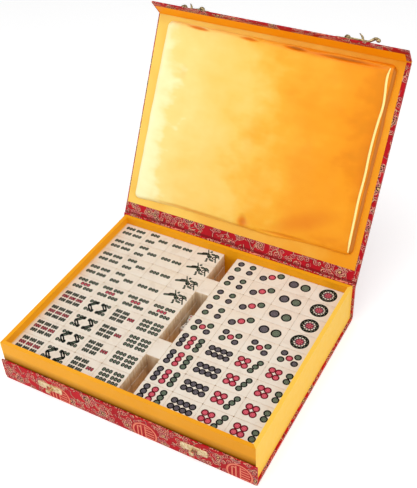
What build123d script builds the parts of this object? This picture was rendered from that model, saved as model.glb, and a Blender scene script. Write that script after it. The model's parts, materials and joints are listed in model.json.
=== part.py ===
"""Brocade mahjong case, open, with its full set of tiles.

Millimetres, +Z up. The origin is on the underside of the base board, at the middle of the tray.
X runs to the right, Y to the back, and the lid is hinged along the top of the spine board.
The lid stands open at its stop, as the case is shown, and the front flap leans out on its cloth fold.
"""
import os
from math import cos, hypot, radians, sin

from build123d import *

# ---- tiles and how they are packed ----
TILE_LENGTH = 39.5
TILE_WIDTH = 30.0
TILE_THICKNESS = 19.6
TILE_CHAMFER = 1.3
TILE_GAP_X = 0.1
TILE_GAP_Y = 0.2
COLUMNS = 4
ROWS = 9
CHANNEL_PLAY = 0.15
SIDE_PLAY = 0.2
END_PLAY = 0.4
SPARE_BACK_Y = 68.5
SPARE_FRONT_Y = -54.5
DIE_SIZE = 13.0
DIE_CHAMFER = 1.4
DIE_BACK = (-2.6, 30.0, 8.0)
DIE_FRONT = (-2.4, 13.5, -14.0)

# ---- tray and base ----
BASE_THICKNESS = 4.0
BASE_OVERHANG = 2.8
BASE_EDGE = 1.2
FLOOR_THICKNESS = 4.0
FLOOR_PAD_THICKNESS = 4.5
FLOOR_PAD_PLAY = 0.1
TRAY_WALL = 5.2
RIM_ABOVE_TILES = 10.7
STRIP_THICKNESS = 1.2
STRIP_PLAY = 0.05
FRONT_WALL_THICKNESS = 2.2
FRONT_WALL_HEIGHT = 29.0
FRONT_WALL_SLIT = 0.7
SPINE_THICKNESS = 4.0

# ---- lid hinge ----
LID_OPEN_ANGLE = 118.3
BEAD_RADIUS = 1.45
BEAD_RISE = 1.0
LID_SEAT_GAP = 0.3
TURNING_GAP = 0.3

# ---- lid ----
LID_THICKNESS = 7.0
LID_ROUNDING = 3.0
LINER_THICKNESS = 0.6
HINGE_STRIP_WIDTH = 16.6
LINER_LEFT_BORDER = 1.8
LINER_RIGHT_BORDER = 5.6
PAD_LEFT_MARGIN = 16.4
PAD_RIGHT_MARGIN = 14.6
PAD_BOTTOM_MARGIN = 9.5
PAD_TOP_MARGIN = 10.0
PAD_CROWN = 8.0
PAD_EDGE = 3.4
PAD_DRAWN_IN = 2.5

# ---- front flap ----
FLAP_REST_ANGLE = 66.0
FLAP_THICKNESS = 2.6
FLAP_LENGTH = 28.0
FLAP_LINER_THICKNESS = 0.4
FLAP_LINER_START = 2.2
FLAP_LINER_END = 19.6
FOLD_THICKNESS = 0.8
FOLD_END_ANGLE = 300.0

# ---- latches ----
LATCH_LEFT_INSET = 73.1
LATCH_RIGHT_INSET = 79.1
LATCH_HEIGHT = 22.6
HOOK_LEFT_TILT = -19.0
HOOK_RIGHT_TILT = -2.0
PLATE_THICKNESS = 1.0
PLATE_LENGTH = 31.0
PLATE_WIDTH = 8.4
SCREW_HEAD_RADIUS = 2.0
SCREW_HEAD_TOP_RADIUS = 1.2
SCREW_HEAD_HEIGHT = 0.5
SCREW_SHANK_RADIUS = 0.9
SCREW_SIDES = 12
SCREW_DEPTH = 1.8
SCREW_PLAY = 0.05
PLATE_SCREW_SPACING = 23.0
RIVET_RADIUS = 1.5
RIVET_PLAY = 0.05
RIVET_COLLAR_RADIUS = 2.7
RIVET_HEAD_STEPS = ((3.7, 0.0), (3.1, 1.5), (1.5, 2.6))
ARM_LIFT = 1.4
ARM_THICKNESS = 1.6
ARM_WIDTH = 3.6
EYE_RADIUS = 3.9
BAR_END = 20.5
NECK_START = 27.4
NECK_CREST_START = 33.0
NECK_CREST_END = 35.6
NECK_END = 37.8
NECK_CREST_LIFT = 5.6
NECK_RADIUS = 1.5
NECK_BEND = 2.5
BALL_RADIUS = 2.0
BALL_LIFT = 4.0
HORN_START = 19.6
HORN_RISE = 6.4
HORN_LEFT_LEAN = -0.8
HORN_RIGHT_LEAN = 5.6
HORN_SIDE_LEAN = 4.5
HORN_BASE_RADIUS = 1.4
HORN_TIP_RADIUS = 0.5

# ---- catches ----
CATCH_LENGTH = 36.0
CATCH_WIDTH = 10.5
CATCH_CORNER = 3.0
CATCH_SCREW_SPACING = 27.0
STRAP_WIDTH = 4.6
STRAP_THICKNESS = 1.2
STRAP_OFFSET = -2.0
STRAP_OVERHANG = 2.6
HOOK_PLAY = 0.5
WINDOW_LENGTH = 7.0
WINDOW_PLAY = 0.3

# A cylinder that stands on its frame's XY plane, and one that hangs below it.
STANDING = (Align.CENTER, Align.CENTER, Align.MIN)
HANGING = (Align.CENTER, Align.CENTER, Align.MAX)

# ---- worked out from the sizes above ----
CHANNEL = TILE_THICKNESS + 2 * CHANNEL_PLAY
BLOCK_X = COLUMNS * TILE_LENGTH + (COLUMNS - 1) * TILE_GAP_X
BLOCK_Y = ROWS * TILE_WIDTH + (ROWS - 1) * TILE_GAP_Y
STRIP_SPACE = STRIP_THICKNESS + STRIP_PLAY + SIDE_PLAY
INSIDE_X = 2 * BLOCK_X + CHANNEL + STRIP_SPACE + SIDE_PLAY
INSIDE_Y = BLOCK_Y + 2 * END_PLAY
TRAY_X = INSIDE_X + 2 * TRAY_WALL
TRAY_Y = INSIDE_Y + 2 * TRAY_WALL
LEFT_BLOCK_X = -INSIDE_X / 2 + STRIP_SPACE
RIGHT_BLOCK_X = LEFT_BLOCK_X + BLOCK_X + CHANNEL
CHANNEL_X = RIGHT_BLOCK_X - CHANNEL / 2

FLOOR_TOP = BASE_THICKNESS + FLOOR_THICKNESS + FLOOR_PAD_THICKNESS
TILE_TOP = FLOOR_TOP + 2 * TILE_THICKNESS
RIM_Z = TILE_TOP + RIM_ABOVE_TILES
BOARD_X = TRAY_X + 2 * BASE_OVERHANG
FRONT_FACE_Y = -TRAY_Y / 2 - FRONT_WALL_SLIT - FRONT_WALL_THICKNESS
SPINE_BACK_Y = TRAY_Y / 2 + SPINE_THICKNESS

HINGE_Y = TRAY_Y / 2 + SPINE_THICKNESS / 2
HINGE_Z = RIM_Z + LID_SEAT_GAP
SPINE_TOP = HINGE_Z - BEAD_RISE
LID_START = BEAD_RADIUS + TURNING_GAP
LID_LIP_START = -SPINE_THICKNESS / 2
LID_LIP_DEPTH = (SPINE_THICKNESS / 2 + TURNING_GAP + LID_LIP_START * cos(radians(LID_OPEN_ANGLE))) / sin(
    radians(LID_OPEN_ANGLE)
)

# Along the lid from the hinge: the flap shuts in front of the tray, its outer face flush with the
# base front wall's.
FLAP_AXIS_V = HINGE_Y - FRONT_FACE_Y - FLAP_THICKNESS / 2
LID_END = FLAP_AXIS_V - FLAP_THICKNESS / 2 - TURNING_GAP
LINER_START = LID_START + HINGE_STRIP_WIDTH
FLAP_OUTER = FLAP_THICKNESS / 2
PIVOT_SHUT_Z = HINGE_Z + FLAP_THICKNESS / 2 - LATCH_HEIGHT
LATCH_LEFT_X = -BOARD_X / 2 + LATCH_LEFT_INSET
LATCH_RIGHT_X = BOARD_X / 2 - LATCH_RIGHT_INSET
ARM_BOTTOM = FLAP_OUTER + PLATE_THICKNESS + ARM_LIFT
ARM_TOP = ARM_BOTTOM + ARM_THICKNESS
ARM_MIDDLE = (ARM_BOTTOM + ARM_TOP) / 2

# The catch's strap stands over the straight of the hook's neck, just short of where the neck rises.
STRAP_POST = NECK_RADIUS + HOOK_PLAY
STRAP_UNDERSIDE = ARM_MIDDLE - FLAP_OUTER + NECK_RADIUS + HOOK_PLAY
STRAP_ALONG_ARM = NECK_START - STRAP_WIDTH / 2 - 1.2 * HOOK_PLAY
CATCH_Z = PIVOT_SHUT_Z - STRAP_ALONG_ARM - STRAP_OFFSET

# Frames. The lid's has Y along the lid from the hinge and Z into the case. The flap's has Y from the
# fold to its free edge and Z to its lined face.
LID = Pos(0, HINGE_Y, HINGE_Z) * Rot(180 - LID_OPEN_ANGLE, 0, 0)
FLAP = LID * Pos(0, FLAP_AXIS_V, -FLAP_THICKNESS / 2) * Rot(FLAP_REST_ANGLE, 0, 0)


def latch_frame(x):
    """Frame on the flap at a latch's pivot: X to the left, Y to the free edge, Z outwards."""
    return FLAP * Pos(x, LATCH_HEIGHT, 0) * Rot(0, 180, 0)


def box(x0, x1, y0, y1, z0, z1):
    """A box between two corners."""
    return Pos((x0 + x1) / 2, (y0 + y1) / 2, (z0 + z1) / 2) * Box(x1 - x0, y1 - y0, z1 - z0)


def save(shape, node):
    """Write one sub-part; a list of solids becomes one group."""
    if isinstance(shape, list):
        shape = Compound(children=shape)
    shape.label = node
    export_step(shape, f"parts/{node}.step")


# ---- tiles ----
def tile():
    """A plain tile lying face up, its long side along X, seated at Z = 0."""
    block = Pos(0, 0, TILE_THICKNESS / 2) * Box(TILE_LENGTH, TILE_WIDTH, TILE_THICKNESS)
    return chamfer(block.edges(), TILE_CHAMFER)


def tile_place(block_x, column, row, layer):
    """Where a tile lies: column 0 is at the left, row 0 at the back, layer 0 on the floor pad."""
    x = block_x + TILE_LENGTH / 2 + column * (TILE_LENGTH + TILE_GAP_X)
    y = BLOCK_Y / 2 - TILE_WIDTH / 2 - row * (TILE_WIDTH + TILE_GAP_Y)
    return Pos(x, y, FLOOR_TOP + layer * TILE_THICKNESS)


def save_suit(name, block_x):
    """Nine groups of four tiles: 4 to 1 in columns, 5 as a row in front of them, then 9 to 6 in columns."""
    places = {5: [(column, 4) for column in range(COLUMNS)]}
    for column in range(COLUMNS):
        places[4 - column] = [(column, row) for row in range(4)]
        places[9 - column] = [(column, row) for row in range(5, ROWS)]
    for rank, spots in places.items():
        group = [tile_place(block_x, column, row, 1) * tile() for column, row in spots]
        save(group, f"{name}_{rank}")


def save_lower(name, block_x, first_row, last_row):
    """Whole rows of the lower layer as one group."""
    rows = range(first_row, last_row + 1)
    places = [(column, row) for row in rows for column in range(COLUMNS)]
    group = [tile_place(block_x, column, row, 0) * tile() for column, row in places]
    save(group, name)


def spare_tile(y):
    """A blank tile standing on its end in the channel, broad sides to the blocks."""
    return Pos(CHANNEL_X - TILE_THICKNESS / 2, y, FLOOR_TOP + TILE_LENGTH / 2) * Rot(0, 90, 0) * tile()


def die(place):
    """A die with its edges broken, on the channel's floor; place holds its x, y and turn."""
    x, y, turn = place
    cube = chamfer(Box(DIE_SIZE, DIE_SIZE, DIE_SIZE).edges(), DIE_CHAMFER)
    return Pos(CHANNEL_X + x, y, FLOOR_TOP + DIE_SIZE / 2) * Rot(0, 0, turn) * cube


# ---- base and tray ----
def base_board():
    """Brocade board under everything, its edges eased by the turned-over cloth."""
    board = box(-BOARD_X / 2, BOARD_X / 2, FRONT_FACE_Y, SPINE_BACK_Y, 0, BASE_THICKNESS)
    board = chamfer(board.edges().filter_by(Axis.Z), BASE_EDGE)
    return chamfer(board.faces().sort_by(Axis.Z)[0].edges(), 0.5 * BASE_EDGE)


def base_front_wall():
    """Low wall in front of the tray, with a rounded top edge and pilot holes for the catch screws."""
    back = FRONT_FACE_Y + FRONT_WALL_THICKNESS
    top = BASE_THICKNESS + FRONT_WALL_HEIGHT
    wall = box(-BOARD_X / 2, BOARD_X / 2, FRONT_FACE_Y, back, BASE_THICKNESS, top)
    wall = fillet(wall.edges().filter_by(Axis.X).group_by(Axis.Z)[-1], 0.4 * FRONT_WALL_THICKNESS)
    for x in (LATCH_LEFT_X, LATCH_RIGHT_X):
        for hole in screw_holes(CATCH_SCREW_SPACING, SCREW_DEPTH):
            wall -= catch_frame(x) * Pos(0, 0, -SCREW_DEPTH) * hole
    return wall


def spine_board():
    """Board behind the tray that carries the lid."""
    board = box(-BOARD_X / 2, BOARD_X / 2, TRAY_Y / 2, SPINE_BACK_Y, BASE_THICKNESS, SPINE_TOP)
    return fillet(board.edges().filter_by(Axis.X).group_by(Axis.Y)[-1].sort_by(Axis.Z)[-1], 1.0)


def hinge_bead():
    """Rolled fold of cloth along the spine's top, flat underneath; the lid turns on it."""
    roll = Rot(0, 90, 0) * Cylinder(BEAD_RADIUS, BOARD_X)
    flat = box(-BOARD_X, BOARD_X, -2 * BEAD_RADIUS, 2 * BEAD_RADIUS, -2 * BEAD_RADIUS, -BEAD_RISE)
    return Pos(0, HINGE_Y, HINGE_Z) * (roll - flat)


def tray_wall(turn, length, offset):
    """A wall mitred at both ends; turn 0 is the front wall."""
    half = length / 2
    outline = Polyline(
        (-half, 0), (half, 0), (half - TRAY_WALL, TRAY_WALL), (-half + TRAY_WALL, TRAY_WALL), close=True
    )
    wall = extrude(make_face(outline), RIM_Z - BASE_THICKNESS)
    return Rot(0, 0, turn) * Pos(0, -offset, BASE_THICKNESS) * wall


def tray_floor():
    """Board inside the foot of the four walls."""
    top = BASE_THICKNESS + FLOOR_THICKNESS
    return box(-INSIDE_X / 2, INSIDE_X / 2, -INSIDE_Y / 2, INSIDE_Y / 2, BASE_THICKNESS, top)


def floor_pad():
    """Paper-covered foam sheet that the tiles stand on."""
    half_x = INSIDE_X / 2 - FLOOR_PAD_PLAY
    half_y = INSIDE_Y / 2 - FLOOR_PAD_PLAY
    return box(-half_x, half_x, -half_y, half_y, FLOOR_TOP - FLOOR_PAD_THICKNESS, FLOOR_TOP)


def packing_strip():
    """Card that takes up the play between the left wall and the tiles."""
    left = -INSIDE_X / 2 + STRIP_PLAY
    half_y = BLOCK_Y / 2
    return box(left, left + STRIP_THICKNESS, -half_y, half_y, FLOOR_TOP, TILE_TOP)


# ---- screws ----
def pin(radius, low, high):
    """Twelve-sided pin along Z; a screw's shank and the holes for it are all drawn with this."""
    return Pos(0, 0, low) * extrude(RegularPolygon(radius, SCREW_SIDES), high - low)


def flat_screw():
    """Small screw standing on Z = 0, its shank below."""
    foot = RegularPolygon(SCREW_HEAD_RADIUS, SCREW_SIDES)
    top = Pos(0, 0, SCREW_HEAD_HEIGHT) * RegularPolygon(SCREW_HEAD_TOP_RADIUS, SCREW_SIDES)
    return loft([foot, top]) + pin(SCREW_SHANK_RADIUS, SCREW_PLAY - PLATE_THICKNESS - SCREW_DEPTH, 0)


def screw_pair(frame, plate_top, spacing):
    """Two screws in a plate."""
    return [frame * Pos(side * spacing / 2, 0, plate_top) * flat_screw() for side in (-1, 1)]


def screw_holes(spacing, depth):
    """Cutters for a pair of screws through a plate that spans Z = 0 to depth."""
    hole = pin(SCREW_SHANK_RADIUS + SCREW_PLAY, 0, depth)
    return [Pos(side * spacing / 2, 0, 0) * hole for side in (-1, 1)]


# ---- catches on the base front wall ----
def catch_frame(x):
    """Frame on the front wall: X to the right, Y up, Z outwards."""
    return Pos(x, FRONT_FACE_Y, CATCH_Z) * Rot(90, 0, 0)


def catch_plate(post_side):
    """Round-cornered plate; a strap lanced from its middle stands up at one side and bends over the other.

    The hook's neck swings in sideways under the strap. post_side is 1 where the strap stands on the right.
    """
    plate = extrude(RectangleRounded(CATCH_LENGTH, CATCH_WIDTH, CATCH_CORNER), PLATE_THICKNESS)
    for hole in screw_holes(CATCH_SCREW_SPACING, PLATE_THICKNESS):
        plate -= hole
    half = STRAP_WIDTH / 2 + WINDOW_PLAY
    left = STRAP_POST - WINDOW_LENGTH
    plate -= box(left, STRAP_POST, STRAP_OFFSET - half, STRAP_OFFSET + half, 0, PLATE_THICKNESS)
    top = STRAP_UNDERSIDE + STRAP_THICKNESS
    outline = Polyline(
        (STRAP_POST, 0),
        (STRAP_POST + STRAP_THICKNESS, 0),
        (STRAP_POST + STRAP_THICKNESS, top),
        (-STRAP_OVERHANG, top),
        (-STRAP_OVERHANG, STRAP_UNDERSIDE),
        (STRAP_POST, STRAP_UNDERSIDE),
        close=True,
    )
    section = Plane(origin=(0, STRAP_OFFSET, 0), x_dir=(1, 0, 0), z_dir=(0, -1, 0)) * make_face(outline)
    strap = extrude(section, STRAP_WIDTH / 2, both=True)
    bend = strap.edges().filter_by(Axis.Y).sort_by(Axis.Z)[-2:].sort_by(Axis.X)[-1]
    catch = plate + fillet(bend, STRAP_THICKNESS)
    return catch if post_side == 1 else mirror(catch, Plane.YZ)


# ---- lid ----
def lid_board():
    """Padded board. Its back lip overhangs the bead and bears on the spine when the lid is open."""
    outer = -LINER_THICKNESS - LID_THICKNESS
    outline = Polyline(
        (LID_START, -LINER_THICKNESS),
        (LID_END, -LINER_THICKNESS),
        (LID_END, outer),
        (LID_LIP_START, outer),
        (LID_LIP_START, -LID_LIP_DEPTH),
        (LID_START, -LID_LIP_DEPTH),
        close=True,
    )
    board = extrude(Plane.YZ * make_face(outline), BOARD_X / 2, both=True)
    return LID * fillet(board.faces().sort_by(Axis.Z)[0].edges(), LID_ROUNDING)


def hinge_strip():
    """Band of brocade across the lid's inner face, from the fold to the liner."""
    return LID * box(-BOARD_X / 2, BOARD_X / 2, LID_START, LINER_START, -LINER_THICKNESS, 0)


def lid_liner():
    """Yellow paper panel glued to the lid's inner face."""
    left = -BOARD_X / 2 + LINER_LEFT_BORDER
    right = BOARD_X / 2 - LINER_RIGHT_BORDER
    return LID * box(left, right, LINER_START, LID_END, -LINER_THICKNESS, 0)


def pad_section(x, drawn_in, edge, crown):
    """One cross-section of the satin pad: flat back, low sides and an arched face."""
    low = LINER_START + PAD_BOTTOM_MARGIN + drawn_in
    high = LID_END - PAD_TOP_MARGIN - drawn_in
    middle = (low + high) / 2
    sides = Polyline((low, edge), (low, 0), (high, 0), (high, edge))
    face = ThreePointArc((high, edge), (middle, crown), (low, edge))
    return Plane(origin=(x, 0, 0), x_dir=(0, 1, 0), z_dir=(1, 0, 0)) * make_face(sides + face)


def satin_pad():
    """Cushion with a crown both ways, its sides drawn in between the corners."""
    left = -BOARD_X / 2 + PAD_LEFT_MARGIN
    right = BOARD_X / 2 - PAD_RIGHT_MARGIN
    span = right - left
    stations = (
        (0.0, 0.0, 0.55, 0.60),
        (0.08, 0.45, 1.0, 0.86),
        (0.5, 1.0, 1.0, 1.0),
        (0.92, 0.45, 1.0, 0.86),
        (1.0, 0.0, 0.55, 0.60),
    )
    sections = [
        pad_section(left + along * span, draw * PAD_DRAWN_IN, edge * PAD_EDGE, crown * PAD_CROWN)
        for along, draw, edge, crown in stations
    ]
    return LID * loft(sections)


def flap_fold():
    """Cloth round the outside of the flap's rolled root, seated on the lid's front edge."""
    inner = FLAP_THICKNESS / 2 + TURNING_GAP
    outer = inner + FOLD_THICKNESS
    start = 180.0
    middle = (start + FOLD_END_ANGLE) / 2

    def at(radius, angle):
        return (radius * cos(radians(angle)), radius * sin(radians(angle)))

    outline = [
        ThreePointArc(at(inner, start), at(inner, middle), at(inner, FOLD_END_ANGLE)),
        Line(at(inner, FOLD_END_ANGLE), at(outer, FOLD_END_ANGLE)),
        ThreePointArc(at(outer, FOLD_END_ANGLE), at(outer, middle), at(outer, start)),
        Line(at(outer, start), at(inner, start)),
    ]
    shell = extrude(Plane.YZ * make_face(outline), BOARD_X / 2, both=True)
    shell -= box(-BOARD_X, BOARD_X, -2 * outer, -inner, -2 * outer, 2 * outer)
    return LID * Pos(0, FLAP_AXIS_V, -FLAP_THICKNESS / 2) * shell


# ---- front flap ----
def flap_board():
    """Flap with a rolled root and a shallow recess for its paper lining."""
    half = FLAP_THICKNESS / 2
    board = box(-BOARD_X / 2, BOARD_X / 2, 0, FLAP_LENGTH, -half, half)
    board = fillet(board.edges().filter_by(Axis.X).group_by(Axis.Y)[-1], 0.45 * FLAP_THICKNESS)
    board += Rot(0, 90, 0) * Cylinder(half, BOARD_X)
    board -= box(
        -BOARD_X / 2 + LINER_LEFT_BORDER,
        BOARD_X / 2 - LINER_RIGHT_BORDER,
        FLAP_LINER_START,
        FLAP_LINER_END,
        half - FLAP_LINER_THICKNESS,
        half,
    )
    board = FLAP * board
    for x in (LATCH_LEFT_X, LATCH_RIGHT_X):
        for hole in screw_holes(PLATE_SCREW_SPACING, SCREW_DEPTH):
            board -= latch_frame(x) * Pos(0, 0, FLAP_OUTER - SCREW_DEPTH) * hole
    return board


def flap_liner():
    """Yellow paper on the flap's inner face, let in flush with the turned-over cloth."""
    half = FLAP_THICKNESS / 2
    return FLAP * box(
        -BOARD_X / 2 + LINER_LEFT_BORDER,
        BOARD_X / 2 - LINER_RIGHT_BORDER,
        FLAP_LINER_START,
        FLAP_LINER_END,
        half - FLAP_LINER_THICKNESS,
        half,
    )


# ---- latches, built in the latch frame with the arm along +X and Z outwards ----
def latch_plate():
    """Plate with round ends, two screw holes and the rivet's hole."""
    plate = extrude(SlotOverall(PLATE_LENGTH, PLATE_WIDTH), PLATE_THICKNESS)
    for hole in screw_holes(PLATE_SCREW_SPACING, PLATE_THICKNESS):
        plate -= hole
    plate -= Cylinder(RIVET_RADIUS, 4 * PLATE_THICKNESS)
    return Pos(0, 0, FLAP_OUTER) * plate


def pivot_rivet():
    """Domed rivet: a collar under the hook's eye, a shank through it and a high round head."""
    base = Cylinder(RIVET_RADIUS, PLATE_THICKNESS, align=STANDING)
    collar = Cylinder(RIVET_COLLAR_RADIUS, ARM_LIFT - RIVET_PLAY, align=STANDING)
    shank = Cylinder(RIVET_RADIUS, ARM_TOP - FLAP_OUTER + 2 * RIVET_PLAY, align=STANDING)
    head = None
    for (radius, low), (next_radius, high) in zip(RIVET_HEAD_STEPS, RIVET_HEAD_STEPS[1:]):
        step = Pos(0, 0, low) * Cone(radius, next_radius, high - low, align=STANDING)
        head = step if head is None else head + step
    return (
        Pos(0, 0, FLAP_OUTER) * (base + shank)
        + Pos(0, 0, FLAP_OUTER + PLATE_THICKNESS) * collar
        + Pos(0, 0, ARM_TOP + RIVET_PLAY) * head
    )


def bent_rod(points, radius, bend):
    """Eight-sided rod along a path in the XZ plane, its corners bent to one radius."""
    path = FilletPolyline(*points, radius=bend)
    rod = sweep(Plane(origin=path @ 0, z_dir=path % 0) * RegularPolygon(radius, 8), path)
    return Rot(90, 0, 0) * rod


def horn_hook(horn_lean):
    """Swinging hook: eye and flat arm, a straight and a rise that ends in a ball, and a thumb horn."""
    crest = ARM_MIDDLE + NECK_CREST_LIFT
    ball = (NECK_END, ARM_MIDDLE + BALL_LIFT)
    eye = Pos(0, 0, ARM_MIDDLE) * Cylinder(EYE_RADIUS, ARM_THICKNESS)
    bar = box(0, BAR_END, -ARM_WIDTH / 2, ARM_WIDTH / 2, ARM_BOTTOM, ARM_TOP)
    bar = fillet(bar.edges().filter_by(Axis.Z).group_by(Axis.X)[-1], 0.45 * ARM_WIDTH)
    neck_path = (
        (BAR_END - ARM_WIDTH, ARM_MIDDLE),
        (NECK_START, ARM_MIDDLE),
        (NECK_CREST_START, crest),
        (NECK_CREST_END, crest),
        ball,
    )
    neck = bent_rod(neck_path, NECK_RADIUS, NECK_BEND)
    cube = Box(2 * BALL_RADIUS, 2 * BALL_RADIUS, 2 * BALL_RADIUS)
    tip = Pos(ball[0], 0, ball[1]) * chamfer(cube.edges(), 0.55 * BALL_RADIUS)
    reach = hypot(horn_lean, HORN_SIDE_LEAN, HORN_RISE)
    spike = Cone(HORN_BASE_RADIUS, HORN_TIP_RADIUS, reach, align=STANDING)
    horn = Plane(origin=(HORN_START, 0, ARM_MIDDLE), z_dir=(-horn_lean, HORN_SIDE_LEAN, HORN_RISE)) * spike
    hook = eye + bar + neck + tip + horn
    return hook - Pos(0, 0, ARM_MIDDLE) * Cylinder(RIVET_RADIUS + RIVET_PLAY, 2 * ARM_THICKNESS)


def save_latch(side, x, tilt, horn_lean):
    """One latch, with its arm swung to where it rests; the right one mirrors the left."""
    frame = latch_frame(x)
    turned = Rot(0, 0, tilt)
    hook = turned * horn_hook(horn_lean)
    if side == "right":
        hook = mirror(hook, Plane.YZ)
    save(frame * latch_plate(), f"latch_plate_{side}")
    save(screw_pair(frame, FLAP_OUTER + PLATE_THICKNESS, PLATE_SCREW_SPACING), f"latch_screws_{side}")
    save(frame * pivot_rivet(), f"pivot_rivet_{side}")
    save(frame * hook, f"horn_hook_{side}")


def save_catch(side, x, post_side):
    """One catch plate and its screws."""
    frame = catch_frame(x)
    save(frame * catch_plate(post_side), f"catch_plate_{side}")
    save(screw_pair(frame, PLATE_THICKNESS, CATCH_SCREW_SPACING), f"catch_screws_{side}")


def main():
    os.makedirs("parts", exist_ok=True)
    save(base_board(), "base_board")
    save(base_front_wall(), "base_front_wall")
    save(spine_board(), "spine_board")
    save(hinge_bead(), "hinge_bead")
    save(tray_wall(0, TRAY_X, TRAY_Y / 2), "tray_front_wall")
    save(tray_wall(90, TRAY_Y, TRAY_X / 2), "tray_right_wall")
    save(tray_wall(180, TRAY_X, TRAY_Y / 2), "tray_back_wall")
    save(tray_wall(270, TRAY_Y, TRAY_X / 2), "tray_left_wall")
    save(tray_floor(), "tray_floor")
    save(floor_pad(), "floor_pad")
    save(packing_strip(), "packing_strip")
    save_catch("left", LATCH_LEFT_X, 1)
    save_catch("right", LATCH_RIGHT_X, -1)
    save(lid_board(), "lid_board")
    save(hinge_strip(), "hinge_strip")
    save(lid_liner(), "lid_liner")
    save(satin_pad(), "satin_pad")
    save(flap_fold(), "flap_fold")
    save(flap_board(), "flap_board")
    save(flap_liner(), "flap_liner")
    save_latch("left", LATCH_LEFT_X, HOOK_LEFT_TILT, HORN_LEFT_LEAN)
    save_latch("right", LATCH_RIGHT_X, HOOK_RIGHT_TILT, HORN_RIGHT_LEAN)
    save_lower("character_tiles", LEFT_BLOCK_X, 0, 8)
    save_lower("wind_tiles", RIGHT_BLOCK_X, 0, 3)
    save_lower("dragon_tiles", RIGHT_BLOCK_X, 4, 6)
    save_lower("flower_tiles", RIGHT_BLOCK_X, 7, 8)
    save_suit("bamboo", LEFT_BLOCK_X)
    save_suit("dots", RIGHT_BLOCK_X)
    save(spare_tile(SPARE_BACK_Y), "spare_tile_back")
    save(spare_tile(SPARE_FRONT_Y), "spare_tile_front")
    save(die(DIE_BACK), "die_back")
    save(die(DIE_FRONT), "die_front")


main()
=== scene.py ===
# %% [markdown]
# # A brocade mahjong case
# The case was drawn in CAD, at its real size. Here it gets its looks: woven brocade on the
# boards, yellow paper on the tray, a satin cushion in the lid, engraved tiles and small brass latches.
# Every step prints what it made, so the script can be read and run from top to bottom.

# %% Load the imported case
import json
from functools import partial, partialmethod, reduce
from math import atan2, cos, hypot, pi, radians, sin

import bmesh
import bpy
from mathutils import Euler, Matrix, Vector, noise


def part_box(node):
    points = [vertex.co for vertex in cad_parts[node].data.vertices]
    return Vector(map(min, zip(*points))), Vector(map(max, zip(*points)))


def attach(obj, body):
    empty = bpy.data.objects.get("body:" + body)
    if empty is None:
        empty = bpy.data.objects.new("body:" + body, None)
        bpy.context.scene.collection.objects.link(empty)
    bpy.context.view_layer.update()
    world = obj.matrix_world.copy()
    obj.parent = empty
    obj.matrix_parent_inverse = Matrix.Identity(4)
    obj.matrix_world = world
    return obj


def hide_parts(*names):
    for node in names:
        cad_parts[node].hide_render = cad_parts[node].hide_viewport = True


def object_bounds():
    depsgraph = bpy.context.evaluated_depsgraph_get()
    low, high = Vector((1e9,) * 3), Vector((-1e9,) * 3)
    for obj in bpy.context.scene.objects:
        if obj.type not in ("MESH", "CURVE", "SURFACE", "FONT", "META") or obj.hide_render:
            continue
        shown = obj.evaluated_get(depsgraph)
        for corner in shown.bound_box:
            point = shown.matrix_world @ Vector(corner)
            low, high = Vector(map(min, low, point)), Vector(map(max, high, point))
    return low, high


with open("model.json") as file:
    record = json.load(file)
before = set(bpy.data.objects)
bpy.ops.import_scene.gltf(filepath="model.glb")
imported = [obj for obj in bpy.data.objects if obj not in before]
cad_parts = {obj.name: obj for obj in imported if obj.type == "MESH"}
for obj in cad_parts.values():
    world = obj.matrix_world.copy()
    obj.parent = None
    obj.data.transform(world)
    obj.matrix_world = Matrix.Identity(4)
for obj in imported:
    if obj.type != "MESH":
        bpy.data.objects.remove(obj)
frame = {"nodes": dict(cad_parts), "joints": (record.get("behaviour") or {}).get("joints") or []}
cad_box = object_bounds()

MM = 0.001
joints = {joint["name"]: joint for joint in frame["joints"]}

# %% [markdown]
# ## Two frames to work in
# The lid leans back and the flap leans out from it, so their parts are easier to make lying flat and then
# to turn into place. Each frame is a matrix: its first column points right, its second along the board
# away from the hinge, its third out of the board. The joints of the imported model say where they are.


# %% Frames of the lid and the flap
def board_frame(joint_name, tilt):
    """X along the hinge, Y away from it, Z out of the board's lined face."""
    along = Vector((0, cos(tilt), sin(tilt)))
    out = Vector((0, -sin(tilt), cos(tilt)))
    columns = Matrix((Vector((1, 0, 0)), along, out)).transposed().to_4x4()
    return Matrix.Translation(joints[joint_name]["pos_m"]) @ columns


LID_OPEN = 118.3
FLAP_OUT = 66
LID_TILT = radians(180 - LID_OPEN)
FLAP_TILT = LID_TILT + radians(FLAP_OUT)
lid_frame = board_frame("lid_hinge", LID_TILT)
flap_frame = board_frame("flap_hinge", FLAP_TILT)
print("lid leans back", round(LID_OPEN - 90, 1), "degrees")

# %% [markdown]
# ## Camera
# The photograph was taken from the front and a little to the right, from above, with the camera slightly
# rolled. The numbers come from fitting a camera to the rows and columns of tiles and to the tray's edges.

# %% Camera at the photograph's place
PHOTO_HEIGHT = 488
FOCAL_PIXELS = 827.1
SHIFT_PIXELS = (0.7, 0.8)
SENSOR_HEIGHT = 24
AZIMUTH = radians(30.71)
ELEVATION = radians(39.88)
ROLL = radians(-3.19)
DISTANCE = 1.0757
AIM_RIGHT = 0.0317
AIM_UP = 0.1310
AIM_HEIGHT = 0.004

back = Vector((sin(AZIMUTH) * cos(ELEVATION), -cos(AZIMUTH) * cos(ELEVATION), sin(ELEVATION)))
level = Vector((cos(AZIMUTH), sin(AZIMUTH), 0))
upright = back.cross(level)
right = cos(ROLL) * level + sin(ROLL) * upright
up = cos(ROLL) * upright - sin(ROLL) * level
place = back * DISTANCE + right * AIM_RIGHT + up * AIM_UP + Vector((0, 0, AIM_HEIGHT))

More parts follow.
